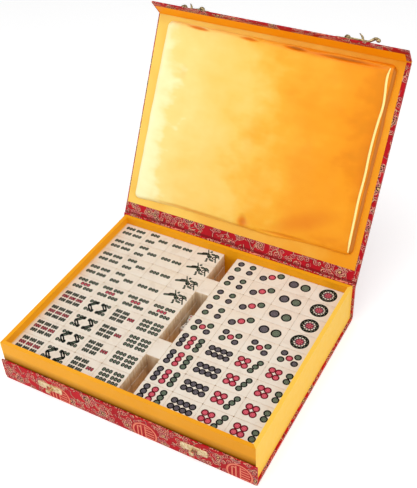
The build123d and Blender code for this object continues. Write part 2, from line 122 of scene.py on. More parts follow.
camera_data = bpy.data.cameras.new("photo_camera")
camera_data.sensor_fit = "VERTICAL"
camera_data.sensor_height = SENSOR_HEIGHT
camera_data.lens = SENSOR_HEIGHT * FOCAL_PIXELS / PHOTO_HEIGHT
camera_data.shift_x, camera_data.shift_y = (pixels / PHOTO_HEIGHT for pixels in SHIFT_PIXELS)
camera_data.clip_start = 0.05
camera = bpy.data.objects.new("photo_camera", camera_data)
camera.matrix_world = Matrix.Translation(place) @ Matrix((right, up, back)).transposed().to_4x4()
bpy.context.collection.objects.link(camera)
bpy.context.scene.camera = camera
print("camera at", [round(c, 3) for c in place], "lens", round(camera_data.lens, 1), "mm")

# %% [markdown]
# ## Small helpers for materials
# A procedural material is a graph of nodes. Written out link by link it is hard to read, so this small
# class lets a pattern be written as a line of sums: every call adds nodes and hands back their output.


# %% A shorthand for shader nodes
def srgb(red, green, blue):
    """A colour picked from 0 to 255, as the linear values that shaders take."""
    channels = [c / 255 for c in (red, green, blue)]
    linear = [c / 12.92 if c <= 0.04045 else ((c + 0.055) / 1.055) ** 2.4 for c in channels]
    return (*linear, 1.0)


class Recipe:
    """A material and short ways to add nodes to it."""

    def __init__(self, name, roughness, metallic=0.0, **surface):
        self.material = bpy.data.materials.new(name)
        self.material.use_nodes = True
        self.tree = self.material.node_tree
        self.surface = self.tree.nodes["Principled BSDF"]
        self.surface.inputs["Roughness"].default_value = roughness
        self.surface.inputs["Metallic"].default_value = metallic
        for socket, value in surface.items():
            self.surface.inputs[socket.replace("_", " ")].default_value = value
        self.object_place = self.add("TexCoord")

    def feed(self, socket, value):
        if isinstance(value, bpy.types.NodeSocket):
            self.tree.links.new(value, socket)
        else:
            socket.default_value = value

    def add(self, kind, values=None, **settings):
        node = self.tree.nodes.new(f"ShaderNode{kind}")
        for key, value in settings.items():
            setattr(node, key, value)
        for key, value in (values or {}).items():
            self.feed(node.inputs[key], value)
        return node

    def math(self, operation, *values):
        return self.add("Math", dict(enumerate(values)), operation=operation).outputs[0]

    plus = partialmethod(math, "ADD")
    minus = partialmethod(math, "SUBTRACT")
    times = partialmethod(math, "MULTIPLY")
    over = partialmethod(math, "DIVIDE")
    above = partialmethod(math, "GREATER_THAN")
    below = partialmethod(math, "LESS_THAN")
    size = partialmethod(math, "ABSOLUTE")
    fraction = partialmethod(math, "FRACT")

    def most(self, *values):
        """The largest of several values."""
        return reduce(partial(self.math, "MAXIMUM"), values)

    def line(self, value, centre, half):
        """One where a value lies within half a width of a centre, else nought."""
        return self.below(self.size(self.minus(value, centre)), half)

    def vector(self, operation, *values):
        node = self.add("VectorMath", dict(enumerate(values)), operation=operation)
        return node.outputs["Value" if operation == "LENGTH" else "Vector"]

    def split(self, value):
        return self.add("SeparateXYZ", {0: value}).outputs

    def join(self, x, y, z=0.0):
        return self.add("CombineXYZ", {0: x, 1: y, 2: z}).outputs[0]

    def blend(self, share, first, second):
        """Blend of two colours."""
        values = {"Factor": share, 6: first, 7: second}
        return self.add("Mix", values, data_type="RGBA").outputs[2]

    def layered(self, colour, layers):
        """A colour with others laid over it in turn, each as far as its share says."""
        for share, cover in layers:
            colour = self.blend(share, colour, cover)
        return colour

    def pick(self, share, first, second):
        """Blend of two vectors."""
        return self.add("Mix", {0: share, 4: first, 5: second}, data_type="VECTOR").outputs[1]

    def ramp(self, value, low, high, start=0.0, end=1.0):
        values = {0: value, 1: low, 2: high, 3: start, 4: end}
        return self.add("MapRange", values, clamp=True).outputs[0]

    def turned(self, tilt=0.0, output="Object", scale=1 / MM):
        """Object coordinates in millimetres, turned back about X so that a tilted board lies flat."""
        values = {0: self.object_place.outputs[output], "Rotation": (-tilt, 0, 0), "Scale": (scale,) * 3}
        return self.add("Mapping", values).outputs[0]

    def grain(self, place, size, detail=2.0, output="Fac"):
        """Noise whose lumps are about size millimetres."""
        values = {"Vector": place, "Scale": 1 / size, "Detail": detail}
        return self.add("TexNoise", values).outputs[output]

    def cells(self, place, size, looseness, **settings):
        """Cells of about that size, laid out loosely."""
        values = {"Vector": place, "Scale": 1 / size, "Randomness": looseness}
        return self.add("TexVoronoi", values, voronoi_dimensions="2D", **settings).outputs

    def motifs(self, place, size):
        """In each cell: distance from its middle, angle about it and a random number."""
        cell = self.cells(place, size, 0.85)
        x, y, _ = self.split(self.vector("SUBTRACT", place, cell["Position"]))
        chance = self.split(cell["Color"])[0]
        return self.vector("LENGTH", self.join(x, y)), self.math("ARCTAN2", y, x), chance

    def bump(self, height, strength, distance=0.0001):
        node = self.add("Bump", {"Height": height, "Strength": strength, "Distance": distance})
        self.feed(self.surface.inputs["Normal"], node.outputs[0])

    def colour(self, value):
        self.feed(self.surface.inputs["Base Color"], value)

    def rough(self, value):
        self.feed(self.surface.inputs["Roughness"], value)


# %% [markdown]
# ## Brocade
# The boards are wrapped in red satin brocade: a ground of fine twill, with blossoms, curling scrolls and
# vines woven in pale gold and dark threads, and now and then a large round fret. A weave has no thickness
# to speak of, so it is all material. The cloth runs flat over each board and turns over its edges, so the
# pattern is laid on from above, in front or the side, whichever way the surface faces.

# %% Sizes of the woven figures, in millimetres
CLUSTER = 27
WANDER_LUMP, WANDER_FAR = 13, 8.0
VINE_CELL, VINE_LUMP, VINE_HALF, VINE_SHADE = 17, 15, 0.42, 1.2
SCROLL_CELL, SCROLL_PITCH, SCROLL_REACH = 7.4, 2.3, 3.7
BLOSSOM_CELL, BLOSSOM_SHIFT, BLOSSOM_REACH = 25, (31.0, 17.0, 0.0), 7.6
PETALS, PETAL_FOOT, PETAL_SWELL, PETAL_RIM = 5, 4.4, 2.4, 0.45
VEINS, VEIN_FROM, HEART = 15, 3.0, 1.3
FRET_GRID = (124.0, 70.0)
FRET_DISC, FRET_RING, FRET_RING_HALF, FRET_INSIDE = 17.4, 15.6, 1.1, 13.2
FRET_POSTS = ((-9.4, 0.9), (-4.6, 0.9), (1.0, 0.8))
FRET_RUNG_PITCH, FRET_LADDER = 4.4, (7.0, 6.0)
FRET_CAP_HEIGHT, FRET_CAP_HALF, FRET_CAPS = 9.0, 0.9, (-7.0, 3.0)


# %% The woven figures
def vines(m, flat, cloth):
    """Thin lines that climb here and there, and the dark shade along them."""
    edge = m.cells(cloth, VINE_CELL, 0.9, feature="DISTANCE_TO_EDGE")["Distance"]
    edge = m.times(edge, VINE_CELL)
    climbing = m.above(m.grain(flat, VINE_LUMP, 1.0), 0.5)
    return [m.times(m.below(edge, half), climbing) for half in (VINE_HALF, VINE_SHADE)]


def scrolls(m, flat, cloth):
    """Spirals and their shade; a spiral is a line where distance and angle keep step."""
    gathered = m.ramp(m.grain(flat, CLUSTER, 1.0), 0.44, 0.5)
    reach, angle, chance = m.motifs(cloth, SCROLL_CELL)
    turns = m.minus(m.over(reach, SCROLL_PITCH), m.over(angle, 2 * pi))
    curl = m.fraction(m.plus(turns, chance))
    wanted = m.above(m.plus(chance, m.times(gathered, 0.85)), 0.88)
    near = m.times(m.below(reach, SCROLL_REACH), wanted)
    return m.times(m.line(curl, 0.5, 0.2), near), m.times(m.above(curl, 0.7), near)


def blossoms(m, cloth):
    """Blossoms with five petals, their rims, veins and hearts, and a random number for each."""
    spread, bearing, chance = m.motifs(m.vector("ADD", cloth, BLOSSOM_SHIFT), BLOSSOM_CELL)
    swing = m.plus(m.times(bearing, PETALS / 2), m.times(chance, 9))
    petal = m.plus(m.times(m.size(m.math("COSINE", swing)), PETAL_SWELL), PETAL_FOOT)
    whole = m.below(spread, petal)
    rims = m.most(m.line(spread, petal, PETAL_RIM), m.line(m.over(spread, petal), 0.55, 0.09))
    rims = m.times(rims, m.below(spread, BLOSSOM_REACH))
    veins = m.line(m.fraction(m.times(bearing, VEINS / (2 * pi))), 0.5, 0.13)
    veins = m.times(m.times(veins, m.above(spread, VEIN_FROM)), whole)
    return whole, rims, veins, m.below(spread, HEART), chance


def frets(m, flat, shift):
    """Round frets on a wide grid: a ring, with posts in one half and a ladder of rungs in the other."""
    across, along, _ = m.split(m.vector("ADD", flat, (*shift, 0.0)))
    x, y = (
        m.minus(m.times(m.fraction(m.over(value, step)), step), step / 2)
        for value, step in zip((across, along), FRET_GRID)
    )
    away = m.vector("LENGTH", m.join(x, y))
    posts = [m.line(x, *post) for post in FRET_POSTS]
    rungs = m.times(m.line(m.fraction(m.over(y, FRET_RUNG_PITCH)), 0.5, 0.2), m.line(x, *FRET_LADDER))
    caps = m.times(m.line(m.size(y), FRET_CAP_HEIGHT, FRET_CAP_HALF), m.line(x, *FRET_CAPS))
    bars = m.times(m.most(*posts, rungs, caps), m.below(away, FRET_INSIDE))
    return m.below(away, FRET_DISC), m.most(bars, m.line(away, FRET_RING, FRET_RING_HALF))


# %% Brocade material
def brocade(name, tilt, fret_shift, painted_shade, paper_zone=None, crease_shade=None):
    """Silk brocade, darkened all over by a painted shade as far as the fourth argument says.

    Paper_zone is where a papered root lies, and the last argument is where a dark band of painted shade
    marks a crease.
    """
    m = Recipe(name, 0.55, Specular_IOR_Level=0.15)
    x, y, z = m.split(m.turned(tilt))
    facing = m.split(m.turned(tilt, "Normal", 1.0))
    flat = m.pick(m.above(m.size(facing[1]), 0.7), m.join(y, z), m.join(x, z))
    flat = m.pick(m.above(m.size(facing[2]), 0.7), flat, m.join(x, y))
    wander = m.vector("SUBTRACT", m.grain(flat, WANDER_LUMP, 1.0, "Color"), (0.5, 0.5, 0.5))
    cloth = m.vector("ADD", flat, m.vector("MULTIPLY", wander, (WANDER_FAR, WANDER_FAR, 0.0)))
    vine, vine_shade = vines(m, flat, cloth)
    scroll, scroll_shade = scrolls(m, flat, cloth)
    blossom, rims, veins, hearts, chance = blossoms(m, cloth)
    fret_disc, fret = frets(m, flat, fret_shift)

    red = m.blend(m.ramp(m.grain(flat, 60), 0.35, 0.65), srgb(182, 6, 22), srgb(208, 14, 32))
    thread = m.grain(flat, 6.0, 1.0)
    pale = m.blend(m.ramp(thread, 0.42, 0.58), srgb(236, 180, 146), srgb(226, 128, 122))
    dark = m.blend(m.ramp(thread, 0.45, 0.55), srgb(66, 8, 18), srgb(48, 28, 20))
    maroon = srgb(120, 8, 26)
    layers = [
        (vine_shade, maroon),
        (scroll_shade, m.blend(m.above(m.grain(flat, 9.0), 0.5), maroon, dark)),
        (scroll, pale),
        (vine, pale),
        (blossom, m.blend(m.above(chance, 0.5), dark, maroon)),
        (veins, pale),
        (rims, pale),
        (hearts, srgb(232, 196, 130)),
        (m.times(fret_disc, 0.9), red),
        (fret, srgb(240, 142, 112)),
    ]
    # A band of painted shade along the crease of the hinge strip.
    if crease_shade:
        layers.append((m.times(m.line(y, crease_shade, 1.5), 0.7), srgb(120, 0, 8)))
    # Painted shade over the whole cloth, deeper on the lid and deepest on the flap, which stand in shade.
    layers.append((painted_shade, srgb(84, 4, 24)))
    if paper_zone:
        root = m.times(m.below(y, paper_zone[0]), m.above(z, paper_zone[1]))
        layers.append((root, srgb(248, 150, 4)))
    m.colour(m.layered(red, layers))
    woven = m.most(scroll, vine, blossom, fret)
    m.rough(m.ramp(woven, 0, 1, 0.5, 0.65))
    twill = m.add("TexWave", {"Vector": flat, "Scale": 0.55, "Distortion": 0.4}).outputs["Fac"]
    m.bump(m.plus(m.times(woven, 0.8), m.times(twill, 0.35)), 0.4, 0.0002)
    return m.material


def place_on(frame_matrix, tilt):
    """Where a board frame's origin lies in the turned coordinates, in millimetres."""
    return Matrix.Rotation(-tilt, 3, "X") @ frame_matrix.translation / MM


# Where the painted shade of the hinge strip's crease runs.
CREASE_FROM_HINGE = 3.4
ROOT_LENGTH, ROOT_DEPTH = 2.3, 0.6
crease_place = place_on(lid_frame, LID_TILT).y + CREASE_FROM_HINGE
root_place = place_on(flap_frame, FLAP_TILT)
root_zone = (root_place.y + ROOT_LENGTH, root_place.z - ROOT_DEPTH)
# The fourth number is each board's painted shade: the lid and the flap are darkened as boards in shade.
base_brocade = brocade("brocade_base", 0.0, (154.5, 26.0), 0.08)
lid_brocade = brocade("brocade_lid", LID_TILT, (91.0, 10.0), 0.2, crease_shade=crease_place)
flap_brocade = brocade("brocade_flap", FLAP_TILT, (110.0, 20.0), 0.3, paper_zone=root_zone)
print("brocade nodes", len(base_brocade.node_tree.nodes))

# %% [markdown]
# ## Paper, card and cream resin
# The tray and the lid's inside are covered in golden satin-finish paper, smooth with a faint cloth grain.
# The tiles are cream resin, made to look like old bone, so they get faint streaks and cloudy spots.

# %% Paper and card materials
PAPER_SPAN = 340.0
# How far up the painted shade at the foot of the tray's front fades out.
SHADE_FADE = 13.0


def golden_paper(name, left, right, shade_height=None):
    """Satin-finish paper changing colour from left to right; a painted shade darkens its foot, deepest up to
    the last argument's height.
    """
    m = Recipe(name, 0.5, Specular_IOR_Level=0.15)
    place = m.turned()
    x, _, z = m.split(place)
    cloud = m.minus(m.grain(place, 45, 3.0), 0.5)
    across = m.plus(m.over(x, PAPER_SPAN), m.times(cloud, 0.8))
    tone = m.blend(m.ramp(across, -0.5, 0.5), srgb(*left), srgb(*right))
    if shade_height:
        # Painted shade of the dark gap at the foot, fading out upwards.
        tone = m.blend(m.ramp(z, shade_height, shade_height + SHADE_FADE, 0.8, 0.0), tone, srgb(116, 66, 0))
    m.colour(tone)
    m.rough(m.ramp(m.grain(place, 8), 0.3, 0.7, 0.38, 0.52))
    m.bump(m.grain(place, 0.8), 0.25)
    return m.material


# The liner's pale left end is a painted highlight and its deep orange right end painted shade, as on the
# satin.
liner_paper_lit_left = golden_paper("liner_paper_lit_left", (248, 206, 96), (238, 152, 26))
tray_paper = golden_paper("tray_paper", (246, 166, 16), (240, 162, 16))
# The front gets painted shade towards the right and at its foot.
front_paper_shaded = golden_paper("front_paper_shaded", (250, 174, 40), (236, 156, 18), shade_height=33.0)
# The tray's right side is a paler copy of the paper: painted light, as if a lamp shone on it from the right.
side_paper_lit = golden_paper("side_paper_lit", (252, 202, 78), (252, 202, 78))
flap_paper = golden_paper("flap_paper", (255, 158, 0), (246, 146, 0))
card = golden_paper("pale_card", (232, 206, 140), (232, 206, 140))
print("five papers and a card")


# %% Resin and paint materials
def cream_resin(name):
    """Resin like old bone: cloudy and specked on the faces, streaked along the sides."""
    m = Recipe(name, 0.3, Specular_IOR_Level=0.4, Coat_Weight=0.08, Coat_Roughness=0.15)
    place = m.turned()
    stretched = m.join(*(m.times(part, share) for part, share in zip(m.split(place), (0.6, 0.6, 0.06))))
    streak = m.grain(stretched, 1.6, 3.0)
    cloud = m.grain(place, 16, 3.0)
    speck = m.ramp(m.grain(place, 1.4, 1.0), 0.70, 0.78)
    side = m.below(m.size(m.split(m.object_place.outputs["Normal"])[2]), 0.5)
    cream = m.blend(m.ramp(cloud, 0.3, 0.75), srgb(231, 218, 202), srgb(237, 228, 214))
    cream = m.blend(m.times(speck, 0.25), cream, srgb(190, 150, 110))
    streaky = m.blend(m.ramp(streak, 0.38, 0.62), srgb(208, 178, 136), srgb(234, 214, 184))
    m.colour(m.blend(m.times(side, 0.85), cream, streaky))
    m.rough(m.ramp(cloud, 0.3, 0.7, 0.24, 0.38))
    m.bump(m.grain(place, 2.5), 0.05)
    return m.material


def paint(name, colour, wear, roughness=0.5):
    """Lacquer rubbed into the engraving: a little uneven, and paler where it is thin."""
    m = Recipe(name, roughness, Specular_IOR_Level=0.12)
    patch = m.grain(m.turned(), 1.1, 3.0)
    fresh = srgb(*colour)
    worn = [(1 - wear) * c + wear * w for c, w in zip(fresh[:3], srgb(200, 190, 170)[:3])]
    m.colour(m.blend(m.ramp(patch, 0.45, 0.75), fresh, (*worn, 1.0)))
    m.rough(m.ramp(patch, 0.3, 0.7, roughness - 0.1, roughness + 0.1))
    return m.material


LINE_WEAR, FILL_WEAR = 0.02, 0.25
resin = cream_resin("cream_resin")
PAINT = {
    "green_line": paint("green_line", (4, 10, 8), LINE_WEAR),
    "green_fill": paint("green_fill", (94, 110, 92), FILL_WEAR),
    "red_line": paint("red_line", (104, 0, 22), LINE_WEAR),
    "red_fill": paint("red_fill", (218, 84, 104), FILL_WEAR),
    "blue_line": paint("blue_line", (6, 4, 10), LINE_WEAR),
    "blue_fill": paint("blue_fill", (90, 84, 94), FILL_WEAR),
}
print("paints", ", ".join(PAINT))

# %% [markdown]
# ## Brass
# Pressed and drawn brass, lacquered and a little tarnished: warm where it is rubbed, greenish brown in
# the hollows.


# %% Brass material
def brass_finish(name, bright, dull):
    m = Recipe(name, 0.3, metallic=0.85)
    place = m.turned()
    patch = m.grain(place, 3.5, 4.0)
    m.colour(m.blend(m.ramp(patch, 0.38, 0.66), bright, dull))
    m.rough(m.ramp(patch, 0.3, 0.7, 0.2, 0.42))
    m.bump(m.grain(place, 0.6), 0.12)
    return m.material


brass = brass_finish("brass", srgb(248, 232, 188), srgb(200, 172, 118))
dark_brass = brass_finish("dark_brass", srgb(216, 192, 140), srgb(96, 74, 46))
print("two brasses")

# %% [markdown]
# ## Dress the CAD parts whose shapes are already right
# Boards, walls, liners and plates keep their CAD meshes and only take a material.


# %% Give the CAD nodes their materials
def dress(material, *nodes):
    for node in nodes:
        slots = frame["nodes"][node].data.materials
        slots.clear()
        slots.append(material)


dress(base_brocade, "base_board", "base_front_wall", "spine_board", "hinge_bead")
dress(lid_brocade, "lid_board", "hinge_strip", "flap_fold")
dress(tray_paper, "tray_back_wall", "tray_left_wall", "tray_floor", "floor_pad")
dress(flap_brocade, "flap_board")
dress(front_paper_shaded, "tray_front_wall")
dress(side_paper_lit, "tray_right_wall")
dress(liner_paper_lit_left, "lid_liner")
dress(flap_paper, "flap_liner")
dress(card, "packing_strip")
for side in ("left", "right"):
    dress(brass, f"catch_plate_{side}", f"catch_screws_{side}")
    dress(dark_brass, f"latch_plate_{side}", f"latch_screws_{side}")
    dress(dark_brass, f"pivot_rivet_{side}", f"horn_hook_{side}")
dress(resin, "character_tiles", "wind_tiles", "dragon_tiles", "flower_tiles")
dress(resin, "spare_tile_back", "spare_tile_front", "die_back", "die_front", "satin_pad")
print("CAD parts dressed")

# %% [markdown]
# ## Making a piece
# A shape is built in a bmesh, turned into an object and hung under the body that carries it, and the
# CAD nodes it stands for are hidden.


# %% Turn a bmesh into a piece of the case
def new_mesh(bm, name="part"):
    """A bmesh as a mesh; the bmesh is used up."""
    mesh = bpy.data.meshes.new(name)
    bm.to_mesh(mesh)
    bm.free()
    return mesh


def new_object(name, bm, materials):
    made = bpy.data.objects.new(name, new_mesh(bm, name))
    for material in materials:
        made.data.materials.append(material)
    bpy.context.collection.objects.link(made)
    return made


def finish_piece(name, bm, materials, body, stands_for=(), smooth=30):
    """A piece of the case; edges sharper than smooth, in degrees, stay crisp."""
    piece = new_object(name, bm, materials)
    for polygon in piece.data.polygons:
        polygon.use_smooth = True
    piece.data.set_sharp_from_angle(angle=radians(smooth))
    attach(piece, body)
    if stands_for:
        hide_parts(*stands_for)
    return piece


# %% [markdown]
# ## Engraved tiles
# Each of the eighteen designs is cut into one master tile and painted, then copied four times. The cutters
# are flat shapes pushed into the tile's face: a deep line round the outside and a shallow floor inside it,
# each with its own paint. The tile takes the cutter's paints where it is cut.

# %% Sizes of tiles and marks, in millimetres
TILE = Vector((39.5, 30.0, 19.6))
TILE_PITCH = Vector((39.6, 30.2, 0.0))
TILE_CORNER, TILE_RIM = 1.4, 0.5
CUT_ABOVE, CUT_DEEP, CUT_SHALLOW = 0.6, 0.45, 0.16
COIN_RIM, COIN_DOT_LINE = 1.1, 0.25
STICK_WIDE, STICK_GAP, STICK_LINE = 6.1, 0.06, 1.25
SLANT_WIDE, SLANT_LINE = 5.2, 2.0
WHEEL, WHEEL_SIDES, WHEEL_RIM = 11.8, 36, 1.8
WHEEL_RINGS = ((1.2, "green_line"), (1.1, "cream"), (1.6, "blue_fill"), (1.0, "red_line"), (0.6, "red_fill"))
FLOWER = ("red_line", "red_line", "red_fill", "red_fill", "blue_fill", "red_fill")
PAINT_SLOT = {name: slot for slot, name in enumerate(("cream", *PAINT))}
TILE_MATERIALS = [resin, *PAINT.values()]


# %% The plain tile and the cutters' outlines
def rise(edge):
    """How much higher one end of an edge lies than the other."""
    return abs(edge.verts[0].co.z - edge.verts[1].co.z)


def bevel(bm, edges, offset, segments):
    rounding = {"affect": "EDGES", "profile": 0.5, "material": -1}
    bmesh.ops.bevel(bm, geom=edges, offset=offset, segments=segments, **rounding)


def move(bm, verts, x=0, y=0, z=0):
    bmesh.ops.translate(bm, verts=verts[:], vec=(x, y, z))


def plain_tile(bm):
    """A tile with its face at Z = 0 and the rest below, its upright edges rounder than the others."""
    made = bmesh.ops.create_cube(bm, size=1, matrix=Matrix.Diagonal((*TILE, 1)))
    move(bm, made["verts"], z=-TILE.z / 2)
    bevel(bm, [e for e in bm.edges if rise(e) > 1], TILE_CORNER, 4)
    bevel(bm, [e for e in bm.edges if e.calc_face_angle() > radians(60)], TILE_RIM, 3)


def disc(bm, x, y, radius, segments=20):
    made = bmesh.ops.create_circle(bm, cap_ends=True, radius=radius, segments=segments)
    move(bm, made["verts"], x, y)
    return made["verts"][0].link_faces[0]


def capsule(bm, x, y, length, width, turn):
    """A round-ended bar: a circle whose two halves are pulled apart, then turned and put in place."""
    verts = bmesh.ops.create_circle(bm, cap_ends=True, radius=width / 2, segments=14)["verts"]
    for side in (-1, 1):
        move(bm, [v for v in verts if v.co.x * side > 1e-6], side * (length - width) / 2)
    bmesh.ops.rotate(bm, verts=verts, matrix=Matrix.Rotation(turn, 3, "Z"))
    move(bm, verts, x, y)
    return verts[0].link_faces[0]


# %% The marks
def sink(bm, face, line, fill, rim, rings=()):
    """Push a flat face into the tile: a deep line round it, a shallow floor, then any inner rings."""
    move(bm, face.verts, z=CUT_ABOVE)
    solid = bmesh.ops.extrude_face_region(bm, geom=[face])
    bottom = next(part for part in solid["geom"] if isinstance(part, bmesh.types.BMFace))
    move(bm, bottom.verts, z=-CUT_ABOVE - CUT_DEEP)
    for wall in {f for v in bottom.verts for f in v.link_faces}:
        wall.material_index = PAINT_SLOT[line]

    def inset(width, paint_name):
        bmesh.ops.inset_region(bm, faces=[bottom], thickness=width, use_even_offset=True)
        bottom.material_index = PAINT_SLOT[paint_name]

    inset(rim, fill)
    move(bm, bottom.verts, z=CUT_DEEP - CUT_SHALLOW)
    for width, paint_name in rings:
        inset(width, paint_name)


def coin(bm, x, y, radius, colour):
    """One coin: a bold dark rim, a lighter floor and a small ring in the middle."""
    line, fill = f"{colour}_line", f"{colour}_fill"
    rim = COIN_RIM + 0.14 * radius
    rings = ((0.36 * (radius - rim), line), (COIN_DOT_LINE, fill))
    sink(bm, disc(bm, x, y, radius), line, fill, rim, rings)


def stick(bm, x, y, length, colour, width=STICK_WIDE):
    """One bamboo stick: a chain of three short joints that nearly touch."""
    joint = length / 3
    for place in (-1, 0, 1):
        face = capsule(bm, x + place * joint, y, width, joint - STICK_GAP, pi / 2)
        sink(bm, face, f"{colour}_line", f"{colour}_fill", min(STICK_LINE, 0.36 * joint))


def slant(bm, x, y, length, turn):
    """One slanting stick of the zigzag; those that lean one way are left cream inside."""
    fill = "cream" if turn < 0 else "green_fill"
    sink(bm, capsule(bm, x, y, length, SLANT_WIDE, radians(turn)), "green_line", fill, SLANT_LINE)


def feather(bm, x, y, length, width, turn):
    """One stroke of the bird; the roundest are left cream inside."""
    fill = "cream" if length < width + 0.7 else "green_fill"
    sink(bm, capsule(bm, x, y, length, width, radians(turn)), "green_line", fill, width * 0.3)


def bearing(face):
    """The direction of a face from the tile's middle."""
    middle = face.calc_center_median()
    return atan2(middle.y, middle.x)


def wheel(bm):
    """The single large coin: a beaded wheel round a red flower."""
    sink(bm, disc(bm, 0, 0, WHEEL, WHEEL_SIDES), "green_line", "green_fill", WHEEL_RIM, WHEEL_RINGS)

    def around(paint_name):
        return sorted((f for f in bm.faces if f.material_index == PAINT_SLOT[paint_name]), key=bearing)

    for place, bead in enumerate(around("green_fill")):
        bead.material_index = PAINT_SLOT["green_line" if place % 3 else "green_fill"]
    for place, gap in enumerate(around("cream")):
        gap.material_index = PAINT_SLOT["cream" if place % 3 else "green_line"]
    petals = bmesh.ops.poke(bm, faces=around("red_fill"))["faces"]
    for place, petal in enumerate(sorted(petals, key=bearing)):
        petal.material_index = PAINT_SLOT[FLOWER[place % len(FLOWER)]]


# %% [markdown]
# The eighteen designs. Each mark is one line: where it is on the tile, how big it is and its colour. X runs
# to the top of the tile, which points right in the case.

# %% The designs of the two suits
GREEN, RED, BLUE = "green", "red", "blue"


def grid(xs, ys, *rest):
    """The same mark at every crossing of some columns and rows."""
    return [(x, y, *rest) for x in xs for y in ys]


def corners(low, high):
    """Four coins, alike across the corners."""
    places = [(x, y) for y in (5.7, -5.7) for x in (low, high)]
    return [(*place, 4.7, colour) for place, colour in zip(places, (BLUE, GREEN, GREEN, BLUE))]


COINS = {
    2: [(-8.6, 0, 6.9, BLUE), (8.0, 0, 6.9, GREEN)],
    3: [(-10.4, -6.4, 5.3, BLUE), (-0.4, 0, 5.3, RED), (9.6, 6.5, 5.3, GREEN)],
    4: corners(-9.4, 8.2),
    5: corners(-8.9, 8.7) + [(0, 0, 4.7, RED)],
    6: grid((-10.4, -1.9), (-4.5, 4.5), 4.7, RED) + grid((12,), (-4.6, 4.6), 4.7, GREEN),
    7: grid((-11.6, -3.2), (-4.5, 4.5), 4.6, RED)
    + [(x, y, 4.3, GREEN) for x, y in ((12.2, 7.7), (9.3, 0), (6.4, -7.7))],
    8: grid((-11.8, -3.9, 4.0, 11.9), (-4.6, 4.6), 4.5, BLUE),
    9: [(x, y, 4.5, c) for x, c in ((-11.4, BLUE), (0, RED), (11.4, GREEN)) for y in (-7.9, 0, 7.9)],
}
STICKS = {
    2: grid((-8.5, 8.4), (0,), 14.6, GREEN),
    3: grid((-8.8,), (-7.4, 7.4), 14.2, GREEN) + [(8.4, 0, 14.2, GREEN)],
    4: grid((-8.8, 7.9), (-5.4, 5.4), 14.5, GREEN),
    5: grid((-8.5, 8.3), (-7.1, 7.1), 14.5, GREEN) + [(-0.2, 0, 14.4, RED)],
    6: grid((-7.3, 9.3), (-7.2, 0, 7.2), 14.5, GREEN),
    7: grid((-10.6, 0.1), (-7.4, 0, 7.4), 9.6, GREEN) + [(11.7, 0, 10.0, RED)],
    8: grid((-8.8, 8.8), (-7.5, 7.5), 14.6, GREEN, 5.8),
    9: [(x, y, 9.6, c) for x in (-10.8, 0.1, 11.0) for y, c in ((-7.5, GREEN), (0, RED), (7.5, GREEN))],
}
ZIGZAG = [[(side * 8.6, edge * 3.9, 14.0, -side * edge * 46) for side in (-1, 1)] for edge in (-1, 1)]
# The bird, its beak to the left, from the bottom layer up: x, y, length, width and turn in degrees.
BIRD = [
    [(-8.8, 1.8, 14.5, 4.0, 17), (2.6, -6.4, 7.2, 2.8, -72), (14.7, -3.8, 8.4, 2.1, -62)]
    + [(12.6, 5.6, 8.0, 5.0, -28)],
    [(-4.6, 4.0, 10.5, 5.4, 14), (8.8, -4.8, 8.0, 3.4, -12), (3.0, -9.6, 3.6, 2.2, 20)],
    [(1.4, 10.6, 4.2, 3.4, 70), (6.8, 6.4, 7.6, 4.0, -8), (1.2, 2.6, 7.2, 4.0, 96)]
    + [(17.0, 2.6, 2.8, 1.8, -60)],
    [(3.9, 0.3, 6.6, 5.8, 75), (10.4, 0.7, 6.4, 5.8, 40), (-2.6, 9.6, 8.6, 1.7, 121)],
]


def each(shape, marks):
    """A layer of cutters: the same shape once for every mark."""
    return lambda bm: [shape(bm, *mark) for mark in marks]


def coin_layers(rank):
    """The cutters of a coin tile, in layers; coins that touch are cut one layer after another."""
    if rank == 1:
        return [wheel]
    layers = []
    for mark in COINS[rank]:
        for layer in layers:
            if all(hypot(mark[0] - x, mark[1] - y) > mark[2] + radius for x, y, radius, _ in layer):
                layer.append(mark)
                break
        else:
            layers.append([mark])
    return [each(coin, layer) for layer in layers]


def stick_layers(rank):
    """The cutters of a bamboo tile, in layers."""
    if rank == 1:
        return [each(feather, layer) for layer in BIRD]
    layers = [each(stick, STICKS[rank])]
    return layers + [each(slant, layer) for layer in ZIGZAG] if rank == 8 else layers


print("designs", 2 + len(COINS) + len(STICKS))

# %% [markdown]
# ## Cutting the masters
# A boolean carves the cutters out of the plain tile. Exact booleans keep every edge crisp and carry the
# cutters' paints over. Then each design is copied to its four places.


# %% Carving
def settled_mesh(made):
    """The mesh of an object with its modifiers worked in."""
    bpy.context.view_layer.update()
    ready = made.evaluated_get(bpy.context.evaluated_depsgraph_get())
    return bpy.data.meshes.new_from_object(ready)


def discard(*made):
    for each_object in made:
        bpy.data.objects.remove(each_object, do_unlink=True)


def carved(name, block, cutters, materials):
    """The block less its cutters, as a mesh."""
    bmesh.ops.recalc_face_normals(cutters, faces=cutters.faces[:])
    bmesh.ops.recalc_face_normals(block, faces=block.faces[:])
    body = new_object(f"{name}_block", block, materials)
    tool = new_object(f"{name}_cutters", cutters, materials)
    cut = body.modifiers.new("carve", "BOOLEAN")
    cut.object = tool
    cut.operation = "DIFFERENCE"
    cut.solver = "EXACT"
    mesh = settled_mesh(body)
    discard(body, tool)
    return mesh


def to_case(bm, matrix, verts=None):
    """Move a shape drawn in millimetres to its place in the case."""
    bmesh.ops.transform(bm, verts=verts or bm.verts[:], matrix=matrix @ Matrix.Scale(MM, 4))


# %% Cut the masters and lay the tiles out
def tile_centres(rank):
    """Columns and rows of the four tiles of a rank, counted from the left and from the back."""
    if rank == 5:
        return [(column, 4) for column in range(4)]
    if rank < 5:
        return [(4 - rank, row) for row in range(4)]
    return [(9 - rank, row) for row in range(5, 9)]


